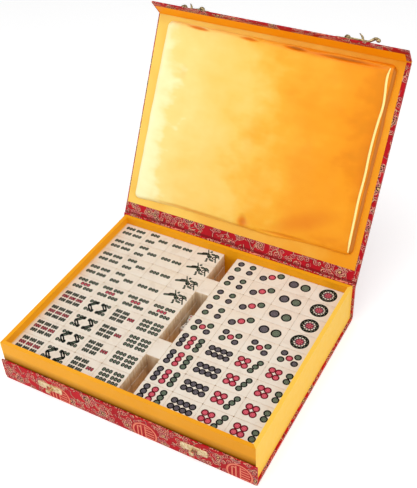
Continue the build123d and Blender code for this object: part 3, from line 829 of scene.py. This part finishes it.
def suit_piece(node, rank, body, layers, block_low_x):
    """The four tiles of one design, as one piece."""
    block = bmesh.new()
    plain_tile(block)
    for cut in layers:
        cutters = bmesh.new()
        cut(cutters)
        move(cutters, cutters.verts, y=MARK_LIFT)
        master = carved(node, block, cutters, TILE_MATERIALS)
        block = bmesh.new()
        block.from_mesh(master)
        bpy.data.meshes.remove(master)
    master = new_mesh(block)
    laid = bmesh.new()
    for column, row in tile_centres(rank):
        before = len(laid.verts)
        laid.from_mesh(master)
        laid.verts.ensure_lookup_table()
        x = block_low_x + TILE.x / 2 + column * TILE_PITCH.x
        y = FIRST_ROW_Y - row * TILE_PITCH.y
        place = Matrix.Scale(MM, 4) @ Matrix.Translation((x, y, TILE_TOP))
        bmesh.ops.transform(laid, verts=laid.verts[before:], matrix=place)
    bpy.data.meshes.remove(master)
    return finish_piece(f"engraved_{node}", laid, TILE_MATERIALS, body, [node])


block_low, block_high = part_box("bamboo_4")
FIRST_ROW_Y = block_high[1] / MM - TILE.y / 2
TILE_TOP = block_high[2] / MM
LEFT_X = block_low[0] / MM
RIGHT_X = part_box("dots_4")[0][0] / MM
MARK_LIFT = 0.8
for rank in range(1, 10):
    sticks = suit_piece(f"bamboo_{rank}", rank, "bamboo_block", stick_layers(rank), LEFT_X)
    coins = suit_piece(f"dots_{rank}", rank, "dot_block", coin_layers(rank), RIGHT_X)
    print("rank", rank, "faces", len(sticks.data.polygons), len(coins.data.polygons))

# %% [markdown]
# ## Spare tiles and dice
# Two blank tiles stand on end in the channel, to hold the blocks apart, and two dice lie between them. The
# dice have rounded corners and drilled pips, the one and the four painted red.

# %% Spare tiles
for node in ("spare_tile_back", "spare_tile_front"):
    low, high = (Vector(corner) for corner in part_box(node))
    spare = bmesh.new()
    plain_tile(spare)
    middle = (low + high) / 2
    turn = Matrix.Rotation(radians(90), 4, "Y")
    to_case(spare, Matrix.Translation((high.x, middle.y, middle.z)) @ turn)
    finish_piece(f"blank_{node}", spare, [resin], node.replace("spare_tile_", "") + "_spare", [node])
print("two blank tiles")

# %% Dice
DIE, DIE_ROUND = 13.0, 1.9
PIP_SPREAD, PIP, BIG_PIP = 3.1, 1.25, 1.9
TWO = [(-1, -1), (1, 1)]
FOUR = [*TWO, (-1, 1), (1, -1)]
PIPS = {
    1: [(0, 0)],
    2: TWO,
    3: [(-1, -1), (0, 0), (1, 1)],
    4: FOUR,
    5: [*FOUR, (0, 0)],
    6: [*FOUR, (-1, 0), (1, 0)],
}
QUARTER = pi / 2
FACING = {1: (0, 0), 6: (pi, 0), 2: (QUARTER, 0), 5: (-QUARTER, 0), 3: (0, QUARTER), 4: (0, -QUARTER)}
white_resin = paint("white_resin", (238, 234, 224), 0.1, 0.3)
DIE_MATERIALS = [white_resin, PAINT["blue_line"], PAINT["red_fill"]]


def die_mesh(name, spin):
    """A die whose six faces are drilled with their pips; spin says which face is up."""
    cube = bmesh.new()
    bmesh.ops.create_cube(cube, size=DIE)
    bevel(cube, cube.edges[:], DIE_ROUND, 4)
    drill = bmesh.new()
    for count, turn in FACING.items():
        radius = BIG_PIP if count == 1 else PIP
        for x, y in PIPS[count]:
            made = bmesh.ops.create_uvsphere(drill, u_segments=12, v_segments=6, radius=radius)
            place = Matrix.Translation((x * PIP_SPREAD, y * PIP_SPREAD, DIE / 2 + radius * 0.45))
            facing = Euler((*turn, 0)).to_matrix().to_4x4()
            bmesh.ops.transform(drill, verts=made["verts"], matrix=facing @ place)
            for face in {f for v in made["verts"] for f in v.link_faces}:
                face.material_index = 2 if count in (1, 4) else 1
    for shape in (cube, drill):
        bmesh.ops.rotate(shape, verts=shape.verts[:], matrix=Euler(spin).to_matrix())
    return carved(name, cube, drill, DIE_MATERIALS)


for side, turn, spin in (("back", 8, (0, QUARTER, 0)), ("front", -14, (QUARTER, 0, QUARTER))):
    low, high = (Vector(corner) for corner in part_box(f"die_{side}"))
    drilled = bmesh.new()
    drilled.from_mesh(die_mesh(f"die_{side}", spin))
    to_case(drilled, Matrix.Translation((low + high) / 2) @ Matrix.Rotation(radians(turn), 4, "Z"))
    finish_piece(f"drilled_die_{side}", drilled, DIE_MATERIALS, f"{side}_die", [f"die_{side}"])
print("two dice")

# %% [markdown]
# ## Satin
# The cushion in the lid is golden satin. Its long floats of thread catch the light across the weave, so
# it goes from nearly white on the side of the window to deep orange in the shade. Here that light and
# shade is painted into its colour as painted highlight and painted shade, with cloudy patches of
# painted sheen between, where the padding is uneven.

# %% Satin material
SATIN_WIDE = 322
# Painted light across the satin: a painted highlight at the left, deepening to painted shade at the right.
SATIN_LIT_TO_SHADED = [
    (0.00, (252, 246, 190)),
    (0.04, (250, 240, 176)),
    (0.10, (249, 220, 130)),
    (0.30, (250, 208, 106)),
    (0.40, (250, 203, 94)),
    (0.50, (249, 190, 68)),
    (0.60, (248, 175, 42)),
    (0.75, (247, 161, 24)),
    (0.88, (245, 154, 14)),
    (0.95, (238, 142, 0)),
    (1.00, (232, 138, 0)),
]


def satin(name):
    """Satin with painted light: pale at left, shaded at right, painted shade in hollows, painted highlight
    on the crease.
    """
    m = Recipe(name, 0.4, Specular_IOR_Level=0.3, Sheen_Weight=0.04, Sheen_Roughness=0.35, Anisotropic=0.5)
    place = m.turned(LID_TILT)
    x, y, _ = m.split(place)
    # Cloudy noise moves the colour along that painted light, as patches of painted sheen and shade.
    cloud = m.minus(m.grain(m.join(x, y), 60, 3.0), 0.5)
    wisp = m.minus(m.grain(m.join(m.times(x, 0.5), y), 16), 0.5)
    across = m.plus(m.times(x, 1 / SATIN_WIDE), 0.5)
    mottle = m.plus(m.times(cloud, 0.56), m.times(wisp, 0.2))
    mottle = m.times(mottle, m.ramp(across, 0.0, 0.15, 0.2, 1.0))
    tone = m.add("ValToRGB", {0: m.plus(across, mottle)})
    stops = tone.color_ramp.elements
    for position, _ in SATIN_LIT_TO_SHADED[1:-1]:
        stops.new(position)
    for stop, (_, colour) in zip(stops, SATIN_LIT_TO_SHADED):
        stop.color = srgb(*colour)
    satin_shade_amount = m.add("Attribute", attribute_name="painted_satin_shade").outputs["Fac"]
    satin_highlight_amount = m.add("Attribute", attribute_name="painted_satin_highlight").outputs["Fac"]
    layers = [
        # Painted shade: orange, and brown where it is deepest.
        (m.ramp(satin_shade_amount, 0.0, 0.5, 0.0, 0.9), srgb(232, 126, 0)),
        (m.ramp(satin_shade_amount, 0.5, 0.9, 0.0, 0.8), srgb(170, 100, 6)),
        # Painted highlight on the rolled crease.
        (satin_highlight_amount, srgb(255, 248, 160)),
    ]
    m.colour(m.layered(tone.outputs[0], layers))
    m.rough(m.ramp(cloud, -0.2, 0.2, 0.34, 0.48))
    weave = m.add("TexWave", {"Vector": place, "Scale": 1.1, "Distortion": 1.5, "Detail": 1.0})
    m.bump(weave.outputs["Fac"], 0.15)
    return m.material


gold_satin = satin("gold_satin")
print("satin tones", len(SATIN_LIT_TO_SHADED))

# %% [markdown]
# ## The cushion
# The CAD solid only holds the cushion's space. Here a sheet of satin is laid over that space, glued to the
# liner all round, and a cloth simulation blows it up a little, which gives the soft swell between its fixed
# edges. The pad was cut by hand, so its lower edge climbs in two steps towards the right.

# %% Sheet of the cushion
lid_inverse = lid_frame.inverted()
pad_corners = [lid_inverse @ v.co for v in frame["nodes"]["satin_pad"].data.vertices]
LEFT_OUT, FOOT_OUT, HEAD_OUT = 4.9 * MM, 1.0 * MM, 3.8 * MM
PAD_LEFT, PAD_RIGHT = min(c.x for c in pad_corners) - LEFT_OUT, max(c.x for c in pad_corners)
PAD_FOOT, PAD_HEAD = min(c.y for c in pad_corners) - FOOT_OUT, max(c.y for c in pad_corners) + HEAD_OUT
LEFT_LEAN = 6.0 * MM
RIGHT_TUCK = -1.2 * MM
LEFT_FOOT_RISE = 3.6 * MM
RIGHT_FOOT_RISE = 5.0 * MM
FOOT_STEP = 0.2
RIGHT_STEP_FROM = 0.65
WAVE = 1.1
CORNER = 9.0 * MM
GLUE = 0.3 * MM
EDGE_RISE = 4.6 * MM
EDGE_ROUND = 1.7 * MM
CROWN = 2.6 * MM
NATURAL_BASE = 2.718


def cushion_place(u, v):
    """Where a point of the flat sheet lies on the lid; u and v run from 0 to 1."""
    u, v = (0.4 * part + 0.3 * (1 - cos(pi * part)) for part in (u, v))
    wide, tall = PAD_RIGHT - RIGHT_TUCK - PAD_LEFT, PAD_HEAD - PAD_FOOT
    from_side, from_end = min(u, 1 - u) * wide, min(v, 1 - v) * tall
    inward = min(from_side, from_end)
    a, b = max(0.0, CORNER - from_side), max(0.0, CORNER - from_end)
    round_off = max(a, b) / hypot(a, b) if a and b else 1.0
    x_in, y_in = a * (1 - round_off), b * (1 - round_off)
    wave = noise.noise((u * 7, v * 7, 3.0)) * WAVE * MM * (1 - 2 * min(u, 1 - u, v, 1 - v))
    left = PAD_LEFT + LEFT_LEAN * v * (1 - u)
    x = left + u * wide + wave + (x_in if u < 0.5 else -x_in)
    first_step = min(1.0, u / FOOT_STEP)
    second_step = min(1.0, max(0.0, (u - RIGHT_STEP_FROM) / FOOT_STEP))
    foot = PAD_FOOT + LEFT_FOOT_RISE * first_step + RIGHT_FOOT_RISE * second_step
    y = foot + v * (PAD_HEAD - foot) + wave + (y_in if v < 0.5 else -y_in)
    swell = (1 - (2 * u - 1) ** 2) * (1 - (2 * v - 1) ** 2)
    height = GLUE + EDGE_RISE * (1 - NATURAL_BASE ** (-inward / EDGE_ROUND)) + CROWN * swell
    return Vector((x, y, height))


sheet = bmesh.new()
bmesh.ops.create_grid(sheet, x_segments=104, y_segments=80, size=0.5)
for vertex in sheet.verts:
    vertex.co = cushion_place(vertex.co.x + 0.5, vertex.co.y + 0.5)
start = [v.co.copy() for v in sheet.verts]
rim = [v.index for v in sheet.verts if v.is_boundary]
cushion = new_object("cushion", sheet, [gold_satin])
cushion.vertex_groups.new(name="glued").add(rim, 1.0, "REPLACE")
print("sheet vertices", len(start), "glued", len(rim))

# %% Blow the cushion up
CLOTH = {"quality": 6, "mass": 0.2, "vertex_group_mass": "glued", "shrink_min": -0.012}
CLOTH.update(tension_stiffness=15, compression_stiffness=15, bending_stiffness=0.3)
CLOTH.update(use_pressure=True, uniform_pressure_force=4.0)
LAST_STEP = 20
LARGEST_MOVE = 2.5 * MM

cloth = cushion.modifiers.new("cloth", "CLOTH")
for setting, value in CLOTH.items():
    setattr(cloth.settings, setting, value)
cloth.settings.effector_weights.gravity = 0.0
cloth.point_cache.frame_start = 1
cloth.point_cache.frame_end = LAST_STEP
for step in range(1, LAST_STEP + 1):
    bpy.context.scene.frame_set(step)
blown = settled_mesh(cushion)
discard(cushion)
largest = max((vertex.co - rest).length for vertex, rest in zip(blown.vertices, start))
share = min(1.0, LARGEST_MOVE / largest) if largest else 1.0
for vertex, rest in zip(blown.vertices, start):
    vertex.co = rest + (vertex.co - rest) * share
print("cushion vertices", len(blown.vertices), "largest move mm", round(largest / MM, 2))

# %% [markdown]
# Puckers, where the satin was drawn in and glued, are pressed in afterwards: short gathers along
# the top, a deep fold and some flat ones along the foot, and the long rolled crease down the right side.

# %% Press in the gathers
# Each patch: its middle across and up the lid, half its length, half its width, its slope and its depth.
GATHERS = [
    (-112, 276.0, 20, 2.6, -0.06, 3.4),
    (-36, 275.0, 17, 2.6, -0.05, 3.2),
    (30, 275.0, 19, 2.8, -0.05, 3.4),
    (104, 274.0, 52, 3.0, 0.0, 3.0),
    (6, 40, 8, 12, 0.0, 1.7),
    (66, 36, 44, 3.0, 0.05, 1.6),
    (-70, 33, 66, 2.5, 0.0, 1.2),
]
# Patches of painted shade only, with no dent.
PAINTED_SHADE_PATCHES = [
    (92, 62, 58, 17, 0.45, 0.34),
    (66, 274, 92, 6, -0.02, 0.4),
    (150, 160, 8, 125, 0.0, 0.16),
    (8, 38, 12, 10, 0.0, 0.3),
    (-6, 150, 14, 34, 0.0, 0.05),
    (70, 130, 30, 46, 0.3, 0.05),
    (-120, 215, 8, 14, 0.0, 0.06),
]
RIPPLE_REACH = 26
FULL_HOLD = 3.0
LOWEST = 0.35
SHADED_FOOT = 1.6
SHADED_FROM = 158.6
DEEPEST = 0.9


def soft_patches(patches, x, y):
    """The sum of soft oval patches at a place."""
    depth = 0.0
    for across, along, length, width, slope, deep in patches:
        dx = (x - across) / length
        dy = (y - along - slope * (x - across)) / width
        depth += deep * max(0.0, 1 - dx * dx - dy * dy) ** 1.5
    return depth


def rippled(x, y):
    """The uneven padding under the satin, in millimetres."""
    edge = max(0.0, 1 - min(y - PAD_FOOT / MM, PAD_HEAD / MM - y) / RIPPLE_REACH)
    ripple = 1.6 * edge * abs(noise.noise((x * 0.045, y * 0.02, 0.0)))
    lumps = 0.9 * noise.noise((x * 0.02, y * 0.017, 2.0))
    return ripple + lumps + 0.3 * noise.noise((x * 0.06, y * 0.06, 7.0))


soft = bmesh.new()
soft.from_mesh(blown)
bmesh.ops.subdivide_edges(soft, edges=soft.edges[:], cuts=1, use_grid_fill=True)
inner = [v for v in soft.verts if not v.is_boundary]
bmesh.ops.smooth_vert(soft, verts=inner, factor=0.5, use_axis_z=True)
painted_satin_shade = soft.verts.layers.float.new("painted_satin_shade")
painted_satin_highlight = soft.verts.layers.float.new("painted_satin_highlight")
for vertex in soft.verts:
    if not vertex.is_boundary:
        x, y, height = vertex.co / MM
        hold = min(1.0, height / FULL_HOLD)
        depth = soft_patches(GATHERS, x, y)
        vertex.co.z = MM * max(LOWEST, height - hold * (depth + rippled(x, y)))
        # Painted shade: in the gathers, in the shade patches, along the foot by the liner and past the
        # crease.
        foot = max(0.0, 1 - height / SHADED_FOOT)
        shaded = 0.85 * min(1.0, max(0.0, x - SHADED_FROM))
        tone = 0.2 * depth + soft_patches(PAINTED_SHADE_PATCHES, x, y) + 0.8 * foot + shaded
        vertex[painted_satin_shade] = min(DEEPEST, tone)
print("gathers", len(GATHERS))


# %% Roll the crease down the right side
def rod(bm, points, radii, sides=16):
    """A round rod through a list of points, thick or thin as its radii say."""
    curve = bpy.data.curves.new("rod", "CURVE")
    curve.dimensions = "3D"
    curve.bevel_depth = 1.0
    curve.bevel_resolution = sides // 4
    curve.use_fill_caps = True
    curve.resolution_u = 6
    line = curve.splines.new("BEZIER")
    line.bezier_points.add(len(points) - 1)
    for knot, place, radius in zip(line.bezier_points, points, radii):
        knot.co = place
        knot.radius = radius
        knot.handle_left_type = knot.handle_right_type = "AUTO"
    made = bpy.data.objects.new("rod", curve)
    bpy.context.collection.objects.link(made)
    bm.from_mesh(settled_mesh(made))
    discard(made)


CREASE = [(155.4, 274, 4.4), (154.4, 264, 5.6), (156.8, 242, 6.1), (157.9, 230, 6.2), (156.4, 205, 6.2)]
CREASE += [(155.6, 172, 6.3), (156.6, 140, 6.3), (156.0, 110, 6.3), (157.0, 78, 6.1), (157.8, 52, 5.8)]
CREASE += [(158.2, 40, 4.4)]
CREASE_THICK = 1.5
CREASE_HIGHLIGHT = 0.85
thickness = [CREASE_THICK * MM] * len(CREASE)
thickness[0] = thickness[-1] = CREASE_THICK * MM * 0.5
before = len(soft.verts)
rod(soft, [Vector(point) * MM for point in CREASE], thickness)
soft.verts.ensure_lookup_table()
# The crease's crest gets a painted highlight.
for vertex in soft.verts[before:]:
    vertex[painted_satin_highlight] = CREASE_HIGHLIGHT
bmesh.ops.holes_fill(soft, edges=[e for e in soft.edges if e.is_boundary])
bmesh.ops.recalc_face_normals(soft, faces=soft.faces[:])
bmesh.ops.transform(soft, verts=soft.verts[:], matrix=lid_frame)
pad = finish_piece("satin_cushion", soft, [gold_satin], "lid", ["satin_pad"], smooth=80)
print("cushion faces", len(pad.data.polygons))

# %% [markdown]
# ## Paper hinge
# Inside the lid the golden paper runs over the fold of the flap, so the root of the flap shows no gap. It
# is a narrow curved strip about the fold's axis, spun from a straight edge.

# %% Paper over the fold
PAPER_INSET = 0.6 * MM
PAPER_RADIUS = 1.62 * MM
PAPER_THICK = 0.15 * MM
PAPER_START, PAPER_SWEEP = radians(22), radians(85)
axis = Vector(joints["flap_hinge"]["pos_m"])
fold_low, fold_high = (Vector(corner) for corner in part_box("flap_board"))
inward = Vector((0, -cos(LID_TILT), sin(LID_TILT)))
reach = PAPER_RADIUS * (Matrix.Rotation(PAPER_START, 3, "X") @ inward)
strip = bmesh.new()
ends = (fold_low.x + PAPER_INSET, fold_high.x - PAPER_INSET)
edge = [strip.verts.new(Vector((x, axis.y, axis.z)) + reach) for x in ends]
strip.edges.new(edge)
bmesh.ops.spin(strip, geom=strip.edges[:] + edge, cent=axis, axis=(1, 0, 0), angle=PAPER_SWEEP, steps=10)
bmesh.ops.solidify(strip, geom=strip.faces[:], thickness=PAPER_THICK)
bmesh.ops.recalc_face_normals(strip, faces=strip.faces[:])
finish_piece("paper_hinge", strip, [flap_paper], "lid")
print("paper hinge")

# %% [markdown]
# ## Latches and catches
# Each latch is a pressed plate with a hook that swings on a domed rivet. The hook is bent from rod: a flat
# arm with an eye, a straight that goes under the catch's strap, a rise that ends in a ball, and a pointed
# thumb horn. CAD drew them with few sides; here they are swept and turned smooth.

# %% Brass sizes, in millimetres
PLATE_SEAT, PLATE_THICK = 1.3, 1.0
PLATE_TOP = PLATE_SEAT + PLATE_THICK
PLATE, PLATE_CORNER = (31.0, 8.4), 4.15
BOSS, BOSS_CORNER, BOSS_SUNK, BOSS_HIGH = (16.0, 6.6), 3.2, 0.3, 0.8
ARM_LONG, ARM_WIDE, ARM_THICK = 20.5, 3.6, 1.6
ARM_MIDDLE = PLATE_TOP + 1.4 + ARM_THICK / 2
EYE_RADIUS = 3.9
RIVET_HEAD, RIVET_HIGH, RIVET_SHANK, RIVET_LONG = 3.7, 2.6, 2.7, 1.35
PIVOT_HEIGHT = 22.6
NECK = [(15.5, 0), (22, 0), (26.2, 0.1), (30.2, 2.8), (33.2, 5.3), (35.4, 5.6), (37.3, 4.6), (37.8, 4.0)]
NECK_RADII = [1.5, 1.5, 1.5, 1.75, 1.95, 2.0, 1.9, 1.8]
BALL = (37.6, 4.2, 2.6)
HORN_FOOT = 19.6
HORN_RADII = (1.8, 1.45, 0.6)
HORN_REACH = {"left": (0.8, 4.5, 6.4), "right": (-5.6, 4.5, 6.4)}
HOOK_TILTS = {"left": -19.0, "right": -2.0}
SCREW_HEAD, SCREW_HIGH, SCREW_SLOT = 2.05, 0.75, 0.5
LATCH_SCREWS, CATCH_SCREWS = 23.0, 27.0
CATCH, CATCH_CORNER, CATCH_THICK = (36.0, 10.5), 3.0, 1.0
STRAP_LOW, STRAP_WIDE, STRAP_LONG, STRAP_THICK = -2.0, 4.6, 5.8, 1.2
STRAP_UNDER, STRAP_SIDE = 5.2, 2.0
WINDOW = (7.0, 5.2, 4.0)


# %% Shapes that the brass parts share
def edges_of(made):
    """The edges of a shape that was just made."""
    return list({e for v in made["verts"] for e in v.link_edges})


def block(bm, size, middle, soften):
    """A box with softened edges."""
    place = Matrix.Translation(middle) @ Matrix.Diagonal((*size, 1))
    made = bmesh.ops.create_cube(bm, size=1, matrix=place)
    bevel(bm, edges_of(made), soften, 2)


def drum(bm, radius, height, middle, segments):
    """A short cylinder, standing on end about a height."""
    return bmesh.ops.create_cone(
        bm, cap_ends=True, segments=segments, radius1=radius, radius2=radius, depth=height,
        matrix=Matrix.Translation((0, 0, middle)),
    )


def pressed_plate(bm, length, width, corner, low, high, soften):
    """A round-cornered plate between two heights, its top edge rolled over."""
    place = Matrix.Translation((0, 0, (low + high) / 2)) @ Matrix.Diagonal((length, width, high - low, 1))
    made = bmesh.ops.create_cube(bm, size=1, matrix=place)
    bevel(bm, [e for e in edges_of(made) if rise(e) > 0.1], corner, 8)
    top = [f for f in bm.faces if f.calc_center_median().z > high - 0.001 and f.normal.z > 0.9]
    bevel(bm, [e for f in top for e in f.edges], soften, 2)


def dome(bm, radius, height, low, segments=28):
    """The upper half of a ball, squashed to a height."""
    made = bmesh.ops.create_uvsphere(bm, u_segments=segments, v_segments=segments // 2, radius=1.0)
    verts = made["verts"]
    geometry = verts + edges_of(made) + list({f for v in verts for f in v.link_faces})
    cut = {"dist": 0.0001, "plane_co": (0, 0, 0), "plane_no": (0, 0, -1), "clear_outer": True}
    bmesh.ops.bisect_plane(bm, geom=geometry, **cut)
    kept = [v for v in bm.verts if v.is_valid and v.co.length < 1.001]
    bmesh.ops.scale(bm, verts=kept, vec=(radius, radius, height))
    move(bm, kept, z=low)
    bmesh.ops.holes_fill(bm, edges=[e for e in bm.edges if e.is_boundary])


def slotted_head(turn, material):
    """A low domed screw head with a straight slot."""
    head = bmesh.new()
    dome(head, SCREW_HEAD, SCREW_HIGH, 0.0, 20)
    slot = bmesh.new()
    shape = Matrix.Rotation(turn, 4, "Z") @ Matrix.Diagonal((2.4 * SCREW_HEAD, SCREW_SLOT, SCREW_HIGH, 1))
    place = Matrix.Translation((0, 0, SCREW_HIGH * 0.95)) @ shape
    bmesh.ops.create_cube(slot, size=1.0, matrix=place)
    return carved("screw", head, slot, [material])


def screws(kind, side, body, place, spacing, top, material, turns):
    """Two slotted heads, each turned its own way as a hand driver leaves them."""
    bm = bmesh.new()
    for hand, turn in zip((-1, 1), turns):
        before = len(bm.verts)
        bm.from_mesh(slotted_head(radians(turn), material))
        bm.verts.ensure_lookup_table()
        move(bm, bm.verts[before:], hand * spacing / 2, z=top)
    to_case(bm, place)
    finish_piece(f"slotted_{kind}_screws_{side}", bm, [material], body, [f"{kind}_screws_{side}"])


# %% Latches
def latch_frame(x):
    """On the flap at a latch's pivot: X to the left, Y to the flap's free edge, Z out of its outer face."""
    return flap_frame @ Matrix.Translation((x * MM, PIVOT_HEIGHT * MM, 0)) @ Matrix.Rotation(pi, 4, "Y")


def bent_hook(side):
    """Arm, eye, neck, ball and horn, with the pivot at the middle of the eye."""
    bm = bmesh.new()
    block(bm, (ARM_LONG, ARM_WIDE, ARM_THICK), (ARM_LONG / 2, 0, ARM_MIDDLE), 0.45)
    eye = drum(bm, EYE_RADIUS, ARM_THICK, ARM_MIDDLE, 32)
    bevel(bm, [e for e in edges_of(eye) if rise(e) < 0.1], 0.35, 2)
    rod(bm, [(x, 0, ARM_MIDDLE + lift) for x, lift in NECK], NECK_RADII)
    x, lift, radius = BALL
    place = Matrix.Translation((x, 0, ARM_MIDDLE + lift)) @ Matrix.Rotation(0.35, 4, "Y")
    oval = place @ Matrix.Diagonal((1.25, 1, 1, 1))
    bmesh.ops.create_uvsphere(bm, u_segments=20, v_segments=12, radius=radius, matrix=oval)
    dx, dy, dz = HORN_REACH[side]
    middle = (HORN_FOOT + 0.25 * dx, 0.3 * dy, ARM_MIDDLE + 0.55 * dz)
    rod(bm, [(HORN_FOOT, 0, ARM_MIDDLE), middle, (HORN_FOOT + dx, dy, ARM_MIDDLE + dz)], HORN_RADII, 12)
    bmesh.ops.recalc_face_normals(bm, faces=bm.faces[:])
    return bm


latch_x = {side: joints[f"{side}_hook_pivot"]["pos_m"][0] / MM for side in HOOK_TILTS}
for side, tilt in HOOK_TILTS.items():
    place = latch_frame(latch_x[side])
    hand = Matrix.Diagonal((1 if side == "left" else -1, 1, 1, 1))
    hook = bent_hook(side)
    to_case(hook, place @ hand @ Matrix.Rotation(radians(tilt), 4, "Z"))
    bmesh.ops.recalc_face_normals(hook, faces=hook.faces[:])
    finish_piece(f"bent_hook_{side}", hook, [dark_brass], f"{side}_hook", [f"horn_hook_{side}"])
    rivet = bmesh.new()
    dome(rivet, RIVET_HEAD, RIVET_HIGH, ARM_MIDDLE + ARM_THICK / 2 + 0.05)
    drum(rivet, RIVET_SHANK, RIVET_LONG, PLATE_TOP + RIVET_LONG / 2, 20)
    to_case(rivet, place)
    finish_piece(f"domed_rivet_{side}", rivet, [dark_brass], "flap", [f"pivot_rivet_{side}"])
    plate = bmesh.new()
    pressed_plate(plate, *PLATE, PLATE_CORNER, PLATE_SEAT, PLATE_TOP, 0.35)
    boss = bmesh.new()
    pressed_plate(boss, *BOSS, BOSS_CORNER, PLATE_TOP - BOSS_SUNK, PLATE_TOP + BOSS_HIGH, 0.5)
    plate.from_mesh(new_mesh(boss))
    to_case(plate, place)
    finish_piece(f"pressed_plate_{side}", plate, [dark_brass], "flap", [f"latch_plate_{side}"])
    screws("latch", side, "flap", place, LATCH_SCREWS, PLATE_TOP, dark_brass, (20, 75))
print("two latches")

# %% Catches
for side, x in latch_x.items():
    low, high = (Vector(corner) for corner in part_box(f"catch_plate_{side}"))
    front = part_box("base_front_wall")[0][1]
    place = Matrix.Translation((x * MM, front, (low.z + high.z) / 2)) @ Matrix.Rotation(pi / 2, 4, "X")
    hand = 1 if side == "left" else -1
    plate = bmesh.new()
    pressed_plate(plate, *CATCH, CATCH_CORNER, 0, CATCH_THICK, 0.4)
    window = bmesh.new()
    block(window, WINDOW, (hand * (STRAP_SIDE - WINDOW[0] / 2), STRAP_LOW, 0.5), 0.3)
    catch = bmesh.new()
    catch.from_mesh(carved("catch", plate, window, [brass]))
    post = (STRAP_THICK, STRAP_WIDE, STRAP_UNDER + STRAP_THICK)
    half = STRAP_THICK / 2
    block(catch, post, (hand * (STRAP_SIDE + half), STRAP_LOW, STRAP_UNDER / 2 + half), 0.3)
    strap = (STRAP_LONG, STRAP_WIDE, STRAP_THICK)
    block(catch, strap, (hand * 0.3, STRAP_LOW, STRAP_UNDER + half), 0.4)
    to_case(catch, place)
    finish_piece(f"lanced_catch_{side}", catch, [brass], "base", [f"catch_plate_{side}"])
    screws("catch", side, "base", place, CATCH_SCREWS, CATCH_THICK, brass, (-35, 50))
print("two catches")

# %% [markdown]
# ## Floor and light
# The case stands on a plain white sweep, as in a catalogue picture. The camera sees it pure white, while
# it still takes the case's soft shadow. A big soft lamp overhead and a window on the left light the satin,
# and another window on the right lights the tray's yellow side. The satin's pale left and deep orange right,
# and the paler yellow of the tray's right side, are also painted light in their colours.


# %% Floor
def white_stage():
    """White card; seen straight on it glows a little, so that only the shadow under the case shows."""
    m = Recipe("white_stage", 0.9)
    m.colour((0.9, 0.9, 0.9, 1.0))
    seen = m.add("LightPath").outputs["Is Camera Ray"]
    m.surface.inputs["Emission Color"].default_value = (1, 1, 1, 1)
    m.feed(m.surface.inputs["Emission Strength"], m.times(seen, 0.35))
    return m.material


below = Matrix.Translation((0, 0, cad_box[0][2]))
sweep = bmesh.new()
bmesh.ops.create_grid(sweep, x_segments=24, y_segments=24, size=4.0, matrix=below)
floor = new_object("floor", sweep, [white_stage()])
print("floor")

# %% Surroundings
world = bpy.data.worlds.new("studio")
world.use_nodes = True
bpy.context.scene.world = world
tree = world.node_tree
ambient = tree.nodes["Background"]
ambient.inputs["Color"].default_value = (1, 1, 1, 1)
ambient.inputs["Strength"].default_value = 0.5
seen = tree.nodes.new("ShaderNodeBackground")
seen.inputs["Strength"].default_value = 1.0
path = tree.nodes.new("ShaderNodeLightPath")
choose = tree.nodes.new("ShaderNodeMixShader")
tree.links.new(path.outputs["Is Camera Ray"], choose.inputs[0])
tree.links.new(ambient.outputs[0], choose.inputs[1])
tree.links.new(seen.outputs[0], choose.inputs[2])
tree.links.new(choose.outputs[0], tree.nodes["World Output"].inputs["Surface"])
print("white surroundings")


# %% Lamps
def window(name, direction, distance, size, power):
    """A soft rectangular lamp that looks at the middle of the case from a direction."""
    lamp = bpy.data.lights.new(name, "AREA")
    lamp.shape = "RECTANGLE"
    lamp.size, lamp.size_y = size
    lamp.energy = power
    aim = Vector((0, 0, 0.12))
    place = aim + Vector(direction).normalized() * distance
    turn = (aim - place).to_track_quat("-Z", "Y").to_matrix().to_4x4()
    made = bpy.data.objects.new(name, lamp)
    made.matrix_world = Matrix.Translation(place) @ turn
    bpy.context.collection.objects.link(made)


window("overhead", (0.1, -0.2, 1.0), 1.6, (1.4, 1.0), 11)
window("left_window", (-0.9, -0.75, 0.35), 1.5, (0.9, 1.1), 7)
window("right_fill", (1.0, -0.25, 0.25), 1.6, (1.2, 1.0), 8)
bpy.context.scene.view_settings.view_transform = "Standard"
print("three lamps")
